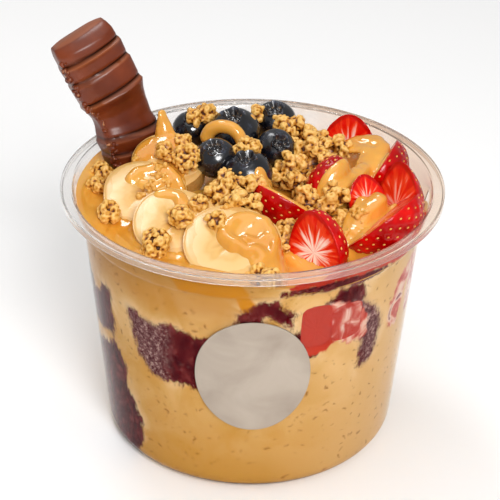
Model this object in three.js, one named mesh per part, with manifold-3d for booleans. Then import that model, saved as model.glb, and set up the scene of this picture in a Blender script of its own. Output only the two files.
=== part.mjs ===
// Acai cup: a clear tapered cup of nut cream with purple acai swirled through it, a pool of
// nut butter on top, and on that banana slices, blueberries, cut strawberries, granola
// clusters and a ridged chocolate-coated wafer bar.
// Millimetres, +Z up. The origin is the centre of the cup's flat base; the sticker faces -Y.

import * as THREE from 'three';
import { mergeVertices } from 'three/addons/utils/BufferGeometryUtils.js';
import Module from 'manifold-3d';

const wasm = await Module();
wasm.setup();
const { Manifold, Mesh } = wasm;

// ---------------------------------------------------------------- driving dimensions

const GAP = 0.35; // clearance between two pieces that touch
const ROUND = 36; // flats round the cup and what fills it

const CUP = {
  height: 84,
  baseRadius: 46, // where the lower wall's line meets the table
  baseFillet: 5.9,
  shoulderHeight: 73.2,
  shoulderRadius: 52.1,
  upperHeight: 74.4, // top of the small stacking shoulder
  upperRadius: 52.9,
  neckHeight: 81.5,
  neckRadius: 54.6,
  rimRadius: 58.5,
  lipDrop: 2.3,
  wall: 0.75,
  floor: 0.9,
};

const LABEL = { halfWidth: 17.2, halfHeight: 20, thickness: 0.3, height: 45.5, azimuth: 1 };

const CREAM_TOP = 72.6;
const POOL_LEVEL = 75.2; // nut butter at the back and right
const POOL_RISE = 4; // extra height of the pool at the left
const POOL_CREEP = 2; // how far it climbs the wall

const BANANA = { thickness: 8.5, edge: 0.9, sides: 18 };
const BERRY_SIDES = 12;
const STRAWBERRY_SIDES = 12;
const THREAD = { steps: 6, sides: 6 }; // how finely a thread of sauce is cut

const BAR = {
  foot: [-28.9, 19.7, 54],
  width: 20.7,
  side: 8.5, // thickness at the edges
  dome: 3.2, // rise of the domed face
  waist: 45, // where the bar bends between its two humps
  lean: [16, 26], // degrees towards -X, below and above the waist
  turn: [42, 28.5], // degrees the domed face is turned towards +X from the front
  slant: [-0.18, 0], // how steeply the ridges run down towards the right edge
};

// ---------------------------------------------------------------- small tools

const radians = THREE.MathUtils.degToRad;
const vector = (x, y, z) => new THREE.Vector3(x, y, z);

// A repeatable random draw between 0 and 1.
const seeded = (seed) => {
  let state = seed * 2654435761 % 4294967296;
  return () => {
    state = (state + 0x6d2b79f5) % 4294967296;
    let mixed = Math.imul(state ^ (state >>> 15), state | 1);
    mixed ^= mixed + Math.imul(mixed ^ (mixed >>> 7), mixed | 61);
    return ((mixed ^ (mixed >>> 14)) >>> 0) / 4294967296;
  };
};

// The solid inside a closed three.js geometry.
const solidOf = (geometry) => {
  geometry.deleteAttribute('normal');
  geometry.deleteAttribute('uv');
  const merged = mergeVertices(geometry, 1e-3);
  const corners = merged.index.array;
  const kept = [];
  for (let i = 0; i < corners.length; i += 3) {
    const [a, b, c] = [corners[i], corners[i + 1], corners[i + 2]];
    if (a !== b && b !== c && c !== a) kept.push(a, b, c);
  }
  return new Manifold(new Mesh({
    numProp: 3,
    vertProperties: new Float32Array(merged.attributes.position.array),
    triVerts: new Uint32Array(kept),
  }));
};

const geometryOf = (solid) => {
  const { vertProperties, triVerts, numProp } = solid.getMesh();
  const geometry = new THREE.BufferGeometry();
  const positions = new THREE.InterleavedBuffer(vertProperties, numProp);
  geometry.setAttribute('position', new THREE.InterleavedBufferAttribute(positions, 3, 0));
  geometry.setIndex(new THREE.BufferAttribute(triVerts, 1));
  const flat = geometry.toNonIndexed();
  flat.computeVertexNormals();
  return flat;
};

// Moves every vertex of a geometry to where a function puts it.
const reshape = (geometry, move) => {
  const positions = geometry.attributes.position;
  const point = new THREE.Vector3();
  for (let i = 0; i < positions.count; i += 1) {
    point.fromBufferAttribute(positions, i);
    move(point);
    positions.setXYZ(i, point.x, point.y, point.z);
  }
  return geometry;
};

// A solid of revolution about Z from [radius, height] pairs that run from the bottom of the
// axis to the top of the axis.
const turned = (profile, sides) => {
  const points = profile.map(([radius, height]) => new THREE.Vector2(radius, height));
  return new THREE.LatheGeometry(points, sides).rotateX(Math.PI / 2);
};

// The pose whose Z axis points along one direction and whose Y axis leans to another.
const poseOf = (at, along, facing = vector(0, 1, 0)) => {
  const z = vector(...along).normalize();
  const x = new THREE.Vector3().crossVectors(facing, z).normalize();
  const y = new THREE.Vector3().crossVectors(z, x);
  return new THREE.Matrix4().makeBasis(x, y, z).setPosition(...at);
};

const largest = (solid) => solid.decompose().reduce((a, b) => (b.volume() > a.volume() ? b : a));

const touches = (a, b) => {
  const one = a.boundingBox();
  const other = b.boundingBox();
  return [0, 1, 2].every((i) => one.min[i] < other.max[i] && other.min[i] < one.max[i]);
};

// ---------------------------------------------------------------- the cup

const outerRadius = (z) => {
  const { shoulderHeight, shoulderRadius, upperHeight, upperRadius, neckHeight, neckRadius } = CUP;
  const between = THREE.MathUtils.mapLinear;
  if (z < shoulderHeight) return between(z, 0, shoulderHeight, CUP.baseRadius, shoulderRadius);
  if (z < upperHeight) return between(z, shoulderHeight, upperHeight, shoulderRadius, upperRadius);
  return between(z, upperHeight, neckHeight, upperRadius, neckRadius);
};

// The rounded corner between the floor and the wall, a distance inside the outer surface.
const cornerArc = (inset, floorHeight, steps) => {
  const radius = CUP.baseFillet - inset * 0.8;
  const slope = Math.atan((CUP.shoulderRadius - CUP.baseRadius) / CUP.shoulderHeight);
  const centreHeight = floorHeight + radius;
  const centreRadius = outerRadius(centreHeight) - inset - radius / Math.cos(slope);
  return Array.from({ length: steps + 1 }, (_, i) => {
    const angle = THREE.MathUtils.lerp(-Math.PI / 2, -slope, i / steps);
    return [centreRadius + radius * Math.cos(angle), centreHeight + radius * Math.sin(angle)];
  });
};

const cupGeometry = () => {
  const { height, shoulderHeight, upperHeight, neckHeight, rimRadius, lipDrop, wall, floor } = CUP;
  const neck = outerRadius(neckHeight);
  const profile = [
    [0, 0],
    ...cornerArc(0, 0, 3),
    [outerRadius(shoulderHeight), shoulderHeight],
    [outerRadius(upperHeight), upperHeight],
    [neck, neckHeight],
    [neck + 0.7, height - wall],
    [rimRadius - wall, height - wall],
    [rimRadius - wall, height - lipDrop],
    [rimRadius, height - lipDrop],
    [rimRadius, height - 0.5],
    [rimRadius - 0.5, height],
    [neck + 0.9, height],
    [neck - 0.1, height - 0.8],
    [neck - wall, neckHeight],
    [outerRadius(upperHeight) - wall, upperHeight],
    [outerRadius(shoulderHeight) - wall, shoulderHeight],
    ...cornerArc(wall, floor, 2).reverse(),
    [0, floor],
  ];
  return turned(profile, ROUND);
};

// The oval sticker, wrapped round the tapered wall.
const labelGeometry = () => {
  const { halfWidth, halfHeight, thickness, height, azimuth } = LABEL;
  const rings = [0, 0.5, 1];
  const back = rings.map((part) => [part, 0]);
  const front = rings.map((part) => [part, thickness]).reverse();
  return reshape(turned([...back, ...front], 24), (point) => {
    const z = height + point.y * halfHeight;
    const radius = outerRadius(z) + GAP + point.z;
    const angle = radians(azimuth) + (point.x * halfWidth) / outerRadius(height);
    point.set(radius * Math.sin(angle), -radius * Math.cos(angle), z);
  });
};

// ---------------------------------------------------------------- what fills the cup

// The space inside the cup up to a height, with a gap to the wall.
const fillProfile = (top) => {
  const inner = (z) => [outerRadius(z) - CUP.wall - GAP, z];
  return [
    [0, CUP.floor + GAP],
    ...cornerArc(CUP.wall + GAP, CUP.floor + GAP, 2),
    inner(top),
    [0, top],
  ];
};

// Purple acai: a lumpy core, and lobes that reach the wall where the cream leaves it bare.
// Each lobe has the azimuth and height of its middle, its half width and half height, and
// how far its long axis leans, in degrees.
const LOBES = [
  { azimuth: -66, height: 54, wide: 9, high: 9, lean: 20 },
  { azimuth: -56, height: 24, wide: 7, high: 20, lean: 27 },
  { azimuth: -27, height: 49, wide: 16, high: 10, lean: -8 },
  { azimuth: 6, height: 66, wide: 7, high: 3.5, lean: 0 },
  { azimuth: 43, height: 57, wide: 3.5, high: 12, lean: 18 },
  { azimuth: 63, height: 57, wide: 4, high: 7, lean: -25 },
  { azimuth: 128, height: 40, wide: 9, high: 18, lean: -22 },
  { azimuth: 212, height: 46, wide: 14, high: 11, lean: 16 },
];
const LOBE_START = 16;
const LOBE_SIDES = 7;
const CORE = { radius: 29, bottom: 12, top: 66 };

const azimuthPoint = (azimuth, radius, z) => {
  const angle = radians(azimuth);
  return [radius * Math.sin(angle), -radius * Math.cos(angle), z];
};

const lobeSolid = ({ azimuth, height, wide, high, lean }, grow) => {
  const draw = seeded(Math.round(azimuth * 7 + 3000));
  const outline = new THREE.Shape(Array.from({ length: LOBE_SIDES }, (_, i) => {
    const angle = (i / LOBE_SIDES) * 2 * Math.PI;
    const ragged = 0.88 + 0.3 * draw();
    const x = (wide * ragged + grow) * Math.cos(angle);
    const y = (high * ragged + grow) * Math.sin(angle);
    return new THREE.Vector2(x, y).rotateAround(new THREE.Vector2(), radians(lean));
  }));
  const geometry = new THREE.ExtrudeGeometry(outline, { depth: 60, bevelEnabled: false });
  const outward = vector(...azimuthPoint(azimuth, 1, 0));
  const pose = new THREE.Matrix4().makeBasis(
    new THREE.Vector3().crossVectors(vector(0, 0, 1), outward),
    vector(0, 0, 1),
    outward,
  );
  pose.setPosition(...azimuthPoint(azimuth, LOBE_START, height));
  return solidOf(geometry.applyMatrix4(pose));
};

const coreSolid = (grow) => {
  const { radius, bottom, top } = CORE;
  const middle = (bottom + top) / 2;
  const geometry = new THREE.SphereGeometry(1, 9, 5).rotateX(Math.PI / 2);
  return solidOf(reshape(geometry, (point) => {
    const swirl = 1 + 0.09 * Math.sin(3 * Math.atan2(point.y, point.x) + 4 * point.z);
    point.x *= radius * swirl + grow;
    point.y *= radius * swirl + grow;
    point.z = middle + point.z * ((top - bottom) / 2 + grow);
  }));
};

const fillSolid = solidOf(turned(fillProfile(CREAM_TOP), ROUND));

// The room that the toppings have: the inside of the cup, and all that is above its rim.
const roomProfile = () => {
  const { height, shoulderHeight, upperHeight, neckHeight, wall, floor } = CUP;
  const inner = (z) => [outerRadius(z) - wall - GAP, z];
  const neck = outerRadius(neckHeight);
  return [
    [0, floor + GAP],
    ...cornerArc(wall + GAP, floor + GAP, 2),
    inner(shoulderHeight),
    inner(upperHeight),
    inner(neckHeight),
    [neck - GAP, height - 0.8],
    [neck + 0.9, height + GAP],
    [2 * neck, height + GAP],
    [2 * neck, 2 * height],
    [0, 2 * height],
  ];
};
const roomSolid = solidOf(turned(roomProfile(), ROUND));

const acaiSolid = (grow) => {
  const lobes = LOBES.map((lobe) => lobeSolid(lobe, grow));
  return lobes.reduce((all, lobe) => all.add(lobe), coreSolid(grow));
};

// The nut butter's surface: a pool that stands highest at the left, with slow waves, and
// creeps up the wall.
const poolHeight = (x, y) => {
  const left = THREE.MathUtils.smoothstep(-x * 0.9 - y * 0.35, -8, 34);
  const creep = THREE.MathUtils.smoothstep(Math.hypot(x, y), 46, 54);
  const waves = 0.35 * Math.sin(x / 5 + 1) * Math.cos(y / 6);
  return POOL_LEVEL + POOL_RISE * left + POOL_CREEP * creep * (0.3 + 0.7 * left) + waves;
};

const poolSolid = (grow = 0) => {
  const bottom = CREAM_TOP + GAP - grow;
  const wallInset = CUP.wall + GAP - grow;
  const { shoulderHeight, upperHeight, neckHeight } = CUP;
  const inner = (z) => [outerRadius(z) - wallInset, z];
  const rim = outerRadius(neckHeight) - wallInset;
  const surface = [1, 0.88, 0.55, 0];
  const profile = [
    [0, bottom],
    inner(bottom),
    inner(shoulderHeight),
    inner(upperHeight),
    ...surface.map((part) => [rim * part, neckHeight]),
  ];
  return solidOf(reshape(turned(profile, ROUND), (point) => {
    if (point.z < neckHeight - 0.01) return;
    const level = poolHeight(point.x, point.y) + grow;
    const shrink = (outerRadius(level) - wallInset) / rim;
    point.set(point.x * shrink, point.y * shrink, level);
  }));
};

// ---------------------------------------------------------------- fruit

// A slice of peeled banana: a disc with softly three-sided outline and rounded edges. Z is
// the way its upper cut face looks, and the origin is the middle of that face.
const bananaSolid = ({ radius }) => (grow) => {
  const { thickness, edge, sides } = BANANA;
  const half = thickness / 2 + grow;
  const outer = radius + grow;
  const profile = [
    [0, -half],
    [outer - edge, -half],
    [outer, -half + edge],
    [outer, half - edge],
    [outer - edge, half],
    [0, half],
  ];
  return solidOf(reshape(turned(profile, sides), (point) => {
    const soft = 1 + 0.03 * Math.cos(3 * Math.atan2(point.y, point.x));
    point.set(point.x * soft, point.y * soft, point.z - thickness / 2);
  }));
};

// A blueberry: a slightly flattened ball with a crater and raised crown at +Z.
const blueberrySolid = ({ radius }) => (grow) => {
  const flat = 0.9;
  const ball = (angle) => [radius * Math.sin(angle), -radius * flat * Math.cos(angle)];
  const belly = [0.6, 1.2, 1.8, 2.4].map(ball);
  const top = radius * flat;
  const profile = [
    [0, -top],
    ...belly,
    [radius * 0.42, top * 0.96],
    [radius * 0.3, top * 0.94],
    [radius * 0.2, top * 0.78],
    [0, top * 0.76],
  ];
  const scale = 1 + grow / (radius * flat);
  return solidOf(turned(profile, BERRY_SIDES).scale(scale, scale, scale));
};

// A cut strawberry: Z runs from the hulled end to the tip, and the flat cut face looks along
// +Y. The origin is the middle of that face; depth is how much of the berry is left behind it.
const strawberrySolid = ({ length, radius, depth, blunt = 0.08 }) => (grow) => {
  const stations = [0, 0.06, 0.18, 0.34, 0.52, 0.7, 0.85, 0.95, 1];
  const girth = (part) => Math.sin(Math.PI * (blunt + (1 - blunt) * part) ** 0.8) ** 0.75;
  const profile = stations.map((part, i) => {
    const isEnd = i === 0 || i === stations.length - 1;
    const along = (part - 0.5) * length;
    return [isEnd ? 0 : radius * girth(part), along];
  });
  const geometry = turned(profile, STRAWBERRY_SIDES);
  geometry.scale(1 + grow / radius, 1 + grow / radius, 1 + (2 * grow) / length);
  geometry.translate(0, radius - depth, 0);
  return solidOf(geometry).trimByPlane([0, -1, 0], -grow);
};

// ---------------------------------------------------------------- the bar

// The bar's outline across: a flat back and sides, with the domed face towards -Y.
const barSection = (grow) => {
  const { width, side, dome } = BAR;
  const half = width / 2 + grow;
  const front = side / 2 + grow;
  const outline = new THREE.Shape();
  outline.moveTo(half - 1, front);
  outline.lineTo(-half + 1, front);
  outline.lineTo(-half, front - 1);
  outline.lineTo(-half, 1.4 - front);
  outline.quadraticCurveTo(-half * 0.95, -front, -half * 0.6, -front - dome * 0.65);
  outline.quadraticCurveTo(0, -front - dome * 1.35, half * 0.6, -front - dome * 0.65);
  outline.quadraticCurveTo(half * 0.95, -front, half, 1.4 - front);
  outline.lineTo(half, front - 1);
  return outline;
};

// Stations along the bar from its foot: distance, then width and thickness as parts of the
// whole. Each hump is stepped by the ridges of its coating, and a waist parts the humps.
const BAR_STATIONS = [
  [0, 1, 1],
  [10, 0.9, 0.85],
  [18, 1, 1],
  [25.6, 1.01, 1.01],
  [26.2, 0.97, 0.96],
  [32.1, 1, 1],
  [32.7, 0.96, 0.95],
  [37.4, 1.03, 1.04],
  [38, 0.97, 0.92],
  [42, 0.88, 0.78],
  [46, 0.86, 0.76],
  [49, 0.92, 0.84],
  [52, 1.02, 1.04],
  [52.7, 0.98, 0.96],
  [60, 1.01, 1.02],
  [60.7, 0.97, 0.95],
  [66.2, 1, 1.01],
  [66.8, 0.96, 0.94],
  [70.5, 0.95, 0.9],
  [72.6, 0.9, 0.7],
  [73.8, 0.8, 0.5],
];

// Where the bar's middle line is at a distance from its foot, and which way the section
// faces there. X runs across the bar to the right, Y to its flat back.
const barSpine = (along) => {
  const { waist, foot } = BAR;
  const bend = THREE.MathUtils.smoothstep(along, waist - 6, waist + 6);
  const lean = radians(THREE.MathUtils.lerp(...BAR.lean, bend));
  const turn = radians(THREE.MathUtils.lerp(...BAR.turn, bend));
  const heading = (angle) => vector(-Math.sin(angle), 0, Math.cos(angle));
  const up = heading(lean);
  const back = vector(-Math.sin(turn), Math.cos(turn), 0);
  back.addScaledVector(up, -back.dot(up)).normalize();
  const middle = heading(radians(BAR.lean[0])).multiplyScalar(Math.min(along, waist));
  middle.addScaledVector(heading(radians(BAR.lean[1])), Math.max(along - waist, 0));
  return { middle, across: new THREE.Vector3().crossVectors(back, up), back };
};

const barSolid = (grow) => {
  const steps = BAR_STATIONS.length - 1;
  const length = BAR_STATIONS[steps][0];
  const geometry = new THREE.ExtrudeGeometry(barSection(grow), {
    depth: steps,
    steps,
    bevelEnabled: false,
    curveSegments: 3,
  });
  return solidOf(reshape(geometry, (point) => {
    const [station, wide, thick] = BAR_STATIONS[Math.round(point.z)];
    const flatBack = BAR.side / 2 + grow;
    const x = point.x * wide;
    const y = flatBack + (point.y - flatBack) * thick;
    const slant = THREE.MathUtils.lerp(...BAR.slant, THREE.MathUtils.smoothstep(station, 36, 54));
    const ends = station === 0 ? -grow : station === length ? grow : 0;
    const { middle, across, back } = barSpine(station + slant * x + ends);
    point.copy(middle).addScaledVector(across, x).addScaledVector(back, y);
  }));
};

// ---------------------------------------------------------------- granola

// One crumbly cluster about the origin: a ball with knobs and hollows.
const clusterSolid = ({ size, seed }) => (grow) => {
  const draw = seeded(seed);
  const geometry = new THREE.SphereGeometry(1, 6, 4).rotateX(draw() * Math.PI);
  geometry.deleteAttribute('normal');
  geometry.deleteAttribute('uv');
  const lump = mergeVertices(geometry, 1e-3);
  return solidOf(reshape(lump, (point) => {
    const reach = (size / 2) * (0.82 + 0.4 * draw()) + grow;
    point.multiplyScalar(reach);
    point.z *= 0.85;
  }));
};

// A heap: clusters fused on a low mound. A cluster is its place and its size.
const heapSolid = ({ mound, clusters, seed }) => (grow) => {
  const [width, depth, height] = mound.radii.map((radius) => radius + grow);
  const core = new THREE.SphereGeometry(1, 9, 6).scale(width, depth, height);
  const start = solidOf(core.translate(...mound.at));
  return clusters.reduce((heap, [x, y, z, size], i) => {
    const cluster = clusterSolid({ size, seed: seed + i })(grow);
    return heap.add(cluster.translate([x, y, z]));
  }, start);
};

// ---------------------------------------------------------------- sauce on the toppings

// A thick thread of sauce along a smooth line, with rounded ends. A tip below 1 draws its
// first end out to a point.
const threadSolid = ({ points, thickness, tip = 1 }) => (grow) => {
  const line = new THREE.CatmullRomCurve3(points.map((point) => vector(...point)));
  const { steps, sides } = THREAD;
  const { normals, binormals } = line.computeFrenetFrames(steps);
  const geometry = new THREE.CylinderGeometry(1, 1, steps, sides, steps);
  return solidOf(reshape(geometry, (point) => {
    const station = Math.round(steps / 2 - point.y);
    const part = station / steps;
    const round = station === 0 || station === steps ? 0.55 : 1;
    const taper = THREE.MathUtils.lerp(tip, 1, Math.min(1, part * 1.6));
    const radius = (thickness / 2) * round * taper + grow;
    const [x, z] = [point.x * radius, point.z * radius];
    line.getPointAt(part, point);
    point.addScaledVector(normals[station], x).addScaledVector(binormals[station], z);
  }));
};

// ---------------------------------------------------------------- where the toppings lie

const COLOURS = {
  clear: 0xf3ede4,
  paper: 0xcbbfb3,
  cream: 0xd3a162,
  acai: 0x4a1726,
  nutButter: 0xe6a447,
  banana: 0xf3d88f,
  blueberry: 0x22232e,
  strawberry: 0xc8150f,
  chocolate: 0x7a3b24,
  granola: 0xd99a4a,
};

const BANANAS = [
  { name: 'banana_1', at: [-26.5, 5.5, 87], radius: 11.3, along: [0, -0.42, 0.9] },
  { name: 'banana_2', at: [-32.7, -8.8, 84.5], radius: 12.6, along: [0, -0.33, 0.94] },
  { name: 'banana_3', at: [-22.4, -26.9, 84.5], radius: 12.8, along: [0, -0.33, 0.94] },
  { name: 'banana_4', at: [-5.9, -37, 84], radius: 14.2, along: [0, -0.3, 0.95] },
];

const BLUEBERRIES = [
  { name: 'blueberry_1', at: [-19.9, 30.2, 86], radius: 6.2, along: [0.1, -0.3, 0.95] },
  { name: 'blueberry_2', at: [-6, 24.4, 88], radius: 8.3, along: [-0.1, -0.25, 0.95] },
  { name: 'blueberry_3', at: [7, 39.2, 85], radius: 7, along: [-0.06, -0.35, 0.93] },
  { name: 'blueberry_4', at: [-11.4, 6.1, 88], radius: 6.5, along: [-0.1, -0.4, 0.9] },
  { name: 'blueberry_5', at: [-1.5, -0.3, 86], radius: 7.6, along: [-0.15, -0.2, 0.97] },
  { name: 'blueberry_6', at: [7.2, 17.6, 86], radius: 6.2, along: [0.27, -0.66, 0.7] },
];

const STRAWBERRIES = [
  { name: 'strawberry_1', at: [31, 34, 78], length: 24, radius: 9.8, depth: 8,
    along: [0.02, 0.2, 0.97], face: [-0.15, -0.9, 0.35] },
  { name: 'strawberry_2', at: [40.2, 14.5, 82.5], length: 21, radius: 9, depth: 8,
    along: [0.4, 0.8, 0.25], face: [-0.5, -0.2, 0.8] },
  { name: 'strawberry_3', at: [24.2, 6, 80], length: 18, radius: 7, depth: 11,
    along: [0.3, 0.4, 0.8], face: [0, 0.7, -0.6] },
  { name: 'strawberry_4', at: [43.5, -5.5, 80.5], length: 25, radius: 10, depth: 8.5,
    along: [0.05, 0.55, 0.7], face: [-0.65, -0.5, 0.55] },
  { name: 'strawberry_5', at: [34.5, -9, 83], length: 15, radius: 6, depth: 6,
    along: [-0.2, 0.4, 0.9], face: [0.5, -0.7, 0.5] },
  { name: 'strawberry_6', at: [37.3, -22, 82.5], length: 26, radius: 11.5, depth: 11,
    along: [-0.74, -0.6, -0.34], face: [-0.7, 0.15, 0.7] },
  { name: 'strawberry_7', at: [18, -35.5, 81], length: 22, radius: 8.2, depth: 9,
    along: [-0.1, 0.25, 0.95], face: [-0.35, -0.8, 0.45] },
  { name: 'strawberry_8', at: [10.7, -12, 83], length: 20, radius: 9.5, depth: 9,
    along: [0.8, -0.5, -0.2], face: [0.4, 0.5, 0.75] },
];

// Pieces of strawberry sunk in the cream, whose flat sides lie against the clear wall.
const WALL_STRAWBERRIES = [
  { name: 'strawberry_9', azimuth: 22, height: 61.5, length: 15, radius: 4.8, depth: 4.5 },
  { name: 'strawberry_10', azimuth: 33.5, height: 60.5, length: 13, radius: 5.4, depth: 5 },
].map((berry) => {
  const inner = outerRadius(berry.height) - CUP.wall - GAP;
  return {
    ...berry,
    at: azimuthPoint(berry.azimuth, inner, berry.height),
    along: [0, 0, 1],
    face: azimuthPoint(berry.azimuth, 1, 0),
  };
});

// Sauce that lies thick on a fruit and is one solid with it.
const THREADS = [
  { on: 'banana_4', thickness: 4.4, points: [
    [-7.6, -38.7, 84.3], [-6.8, -34.3, 85.7], [-3.9, -31.7, 86.5], [-0.5, -32.5, 86.3],
    [1.8, -36.9, 84.9], [4.7, -42.4, 83.1], [7, -46.5, 81.8]] },
  { on: 'banana_2', thickness: 3.6, points: [
    [-37.4, -7.5, 85.8], [-32.5, -4.5, 87], [-26.5, -4.6, 87.4], [-22.6, -5.9, 86.6]] },
  { on: 'banana_1', thickness: 5, tip: 0.25, points: [
    [-28.8, 17.3, 98], [-27.5, 15.8, 94], [-25.8, 12.4, 90.6], [-21.9, 7.4, 88]] },
  { on: 'blueberry_2', thickness: 4.4, points: [
    [-14.6, 19.6, 88.6], [-13.4, 19.4, 91], [-10.5, 18.5, 92.8], [-6.7, 17.4, 92.6],
    [-4.2, 15.9, 90.6], [-3.6, 13.4, 88.6]] },
  { on: 'strawberry_2', thickness: 4.4, points: [
    [30.6, 25.5, 84], [34.8, 26.2, 85.7], [39.3, 25.4, 86.4], [41.9, 21, 86],
    [41.3, 15.8, 84.6], [38.6, 12.2, 83.2], [35.8, 11, 81.8]] },
  { on: 'strawberry_3', thickness: 4, points: [
    [23.7, -6, 84.6], [28, -2.6, 86], [31.6, 3.6, 86.2], [34.4, 9.4, 85.8]] },
  { on: 'strawberry_5', thickness: 4.6, points: [
    [42.6, -6.5, 84.6], [38.5, -10.6, 84.2], [33.9, -13, 82.6], [30.4, -15.6, 80.2],
    [28.6, -20.4, 78.2], [27.8, -26.9, 77]] },
  { on: 'strawberry_8', thickness: 5.2, points: [
    [3.9, -7.2, 87], [7, -8.8, 86.6], [11, -11.2, 84.8], [15.4, -14.2, 82.2]] },
];

// Clusters that lie alone: their place seen from above, and their size.
const GRANOLA = [
  [-15.3, 31, 6.3], [-19, 27.7, 5], [2, 36.6, 4.4], [-22, 11.4, 3.8], [-1.7, 6.3, 6.8],
  [-15.7, -21.8, 4.4], [-20.4, -28, 7], [-46.7, 9.6, 5.5], [-47.4, 0.5, 5.2], [-42.3, -17.8, 6.8],
  [-27.6, -37.6, 8.4], [-10.2, -31.5, 5.2], [1.5, -48, 5], [11, -23.5, 8.8], [10.9, -29.6, 3.8],
  [25.6, -15.4, 4.8], [5.5, -50.5, 5.5], [-26.4, 6.8, 5.4], [-20, 3.8, 8.6],
];
const CLUSTER_SINK = 0.3; // how high a cluster's middle stands over what it rests on

const HEAPS = [
  { name: 'granola_heap_1', seed: 300,
    mound: { at: [-8.5, -12, 78], radii: [10.5, 9.5, 7] },
    clusters: [
      [-15.8, -3, 85, 8.4], [-18.2, -7, 83.6, 6.2], [-6.4, -6, 88, 6.6], [-0.8, -9.6, 87, 7],
      [-7.4, -10.4, 85.4, 7.6], [-12.6, -11, 84, 7], [-2.8, -20.2, 86.4, 7.8],
      [-4.6, -15, 84.8, 8]] },
  { name: 'granola_heap_2', seed: 400,
    mound: { at: [16.5, 22, 77], radii: [11, 20, 8.5] },
    clusters: [
      [12, 31.6, 86, 7.6], [19.5, 37, 86.4, 8.6], [18.6, 26.8, 85, 7.4], [25, 27, 83.6, 7.2],
      [28, 23.8, 82.8, 6.4], [18.2, 17, 85, 9.2], [10.9, 6.8, 83.6, 8.4], [19.1, 3.6, 85.6, 6.8],
      [22.4, 12, 83.4, 6.6]] },
  { name: 'granola_heap_3', seed: 500,
    mound: { at: [20.5, -9.5, 77], radii: [7.5, 5.5, 6] },
    clusters: [
      [17.4, -7, 82.2, 6], [24.2, -9.4, 83.2, 6.6], [27, -7.6, 84.4, 5], [22, -11.4, 79.6, 5.2],
      [16.9, -9.4, 79.4, 5]] },
];

const fruit = [
  {
    name: 'chocolate_bar',
    colour: COLOURS.chocolate,
    pose: new THREE.Matrix4().setPosition(...BAR.foot),
    solid: barSolid,
  },
  ...BANANAS.slice().reverse().map((slice) => ({
    name: slice.name,
    colour: COLOURS.banana,
    pose: poseOf(slice.at, slice.along),
    solid: bananaSolid(slice),
  })),
  ...[...STRAWBERRIES, ...WALL_STRAWBERRIES].map((berry) => ({
    name: berry.name,
    colour: COLOURS.strawberry,
    pose: poseOf(berry.at, berry.along, vector(...berry.face)),
    solid: strawberrySolid(berry),
  })),
  ...BLUEBERRIES.map((berry) => ({
    name: berry.name,
    colour: COLOURS.blueberry,
    pose: poseOf(berry.at, berry.along),
    solid: blueberrySolid(berry),
  })),
];

// ---------------------------------------------------------------- fitting and assembly

const placed = (piece, grow = 0) => piece.solid(grow).transform(piece.pose.elements);

const cutBy = (solid, pieces) => pieces.reduce((left, piece) => {
  const tool = placed(piece, GAP);
  return touches(left, tool) ? left.subtract(tool) : left;
}, solid);

const threads = THREADS.map((thread) => ({
  ...thread,
  pose: new THREE.Matrix4(),
  solid: threadSolid(thread),
}));

// A fruit with the sauce that lies on it, kept clear of every other fruit and of the pool.
const withSauce = (piece, solid) => threads.reduce((whole, thread, i) => {
  if (thread.on !== piece.name) return whole;
  const others = fruit.filter(({ name }) => name !== piece.name);
  const sauce = cutBy(placed(thread), [...others, ...threads.slice(0, i)]);
  return whole.add(sauce.subtract(poolSolid(GAP)));
}, solid);

const cup = new THREE.Group();

const add = (name, geometry, colour, roughness, extra = {}) => {
  const material = new THREE.MeshStandardMaterial({ color: colour, roughness, metalness: 0, ...extra });
  const mesh = new THREE.Mesh(geometry, material);
  mesh.name = name;
  cup.add(mesh);
  return mesh;
};

const addPlaced = (piece, solid, roughness) => {
  const own = solid.transform(piece.pose.clone().invert().elements);
  const mesh = add(piece.name, geometryOf(own), piece.colour, roughness);
  mesh.applyMatrix4(piece.pose);
};

add('cup', cupGeometry(), COLOURS.clear, 0.1, { transparent: true, opacity: 0.35 });
add('label', labelGeometry(), COLOURS.paper, 0.6);

add('nut_butter', geometryOf(largest(cutBy(poolSolid(), fruit))), COLOURS.nutButter, 0.3);
const acai = acaiSolid(0).intersect(fillSolid);
add('acai', geometryOf(largest(cutBy(acai, fruit))), COLOURS.acai, 0.5);
const cream = largest(cutBy(fillSolid.subtract(acaiSolid(GAP)), fruit));
add('cream', geometryOf(cream), COLOURS.cream, 0.5);

fruit.forEach((piece, i) => {
  const alone = largest(cutBy(placed(piece).intersect(roomSolid), fruit.slice(0, i)));
  const isSunk = WALL_STRAWBERRIES.some(({ name }) => name === piece.name);
  const solid = isSunk ? alone.intersect(fillSolid) : withSauce(piece, alone);
  addPlaced(piece, largest(solid), 0.4);
});

// How high the toppings and the pool stand at a place seen from above.
const restingHeight = (x, y) => {
  cup.updateMatrixWorld(true);
  const ray = new THREE.Raycaster(vector(x, y, 2 * CUP.height), vector(0, 0, -1));
  return ray.intersectObjects(cup.children)[0].point.z;
};

const heaps = HEAPS.map((heap) => ({ ...heap, pose: new THREE.Matrix4(), solid: heapSolid(heap) }));
const clusters = GRANOLA.map(([x, y, size], i) => ({
  name: `granola_${i + 1}`,
  pose: new THREE.Matrix4().setPosition(x, y, restingHeight(x, y) + CLUSTER_SINK * size),
  solid: clusterSolid({ size, seed: i + 1 }),
}));

[...heaps, ...clusters].forEach((piece, i, all) => {
  const inside = placed(piece).intersect(roomSolid);
  const clear = cutBy(inside, [...fruit, ...threads, ...all.slice(0, i)]);
  const solid = largest(clear.subtract(poolSolid(GAP)));
  addPlaced({ ...piece, colour: COLOURS.granola }, solid, 0.8);
});

export default cup;
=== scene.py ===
"""The acai cup's looks: a clear cup of nut cream with acai swirled through it, under a pool of
nut butter with banana, blueberries, strawberries, granola and a chocolate-coated wafer bar.

Sizes are millimetres in the model's own frame; every finished piece is scaled to metres.
"""

import contextlib
import math
import random

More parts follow.
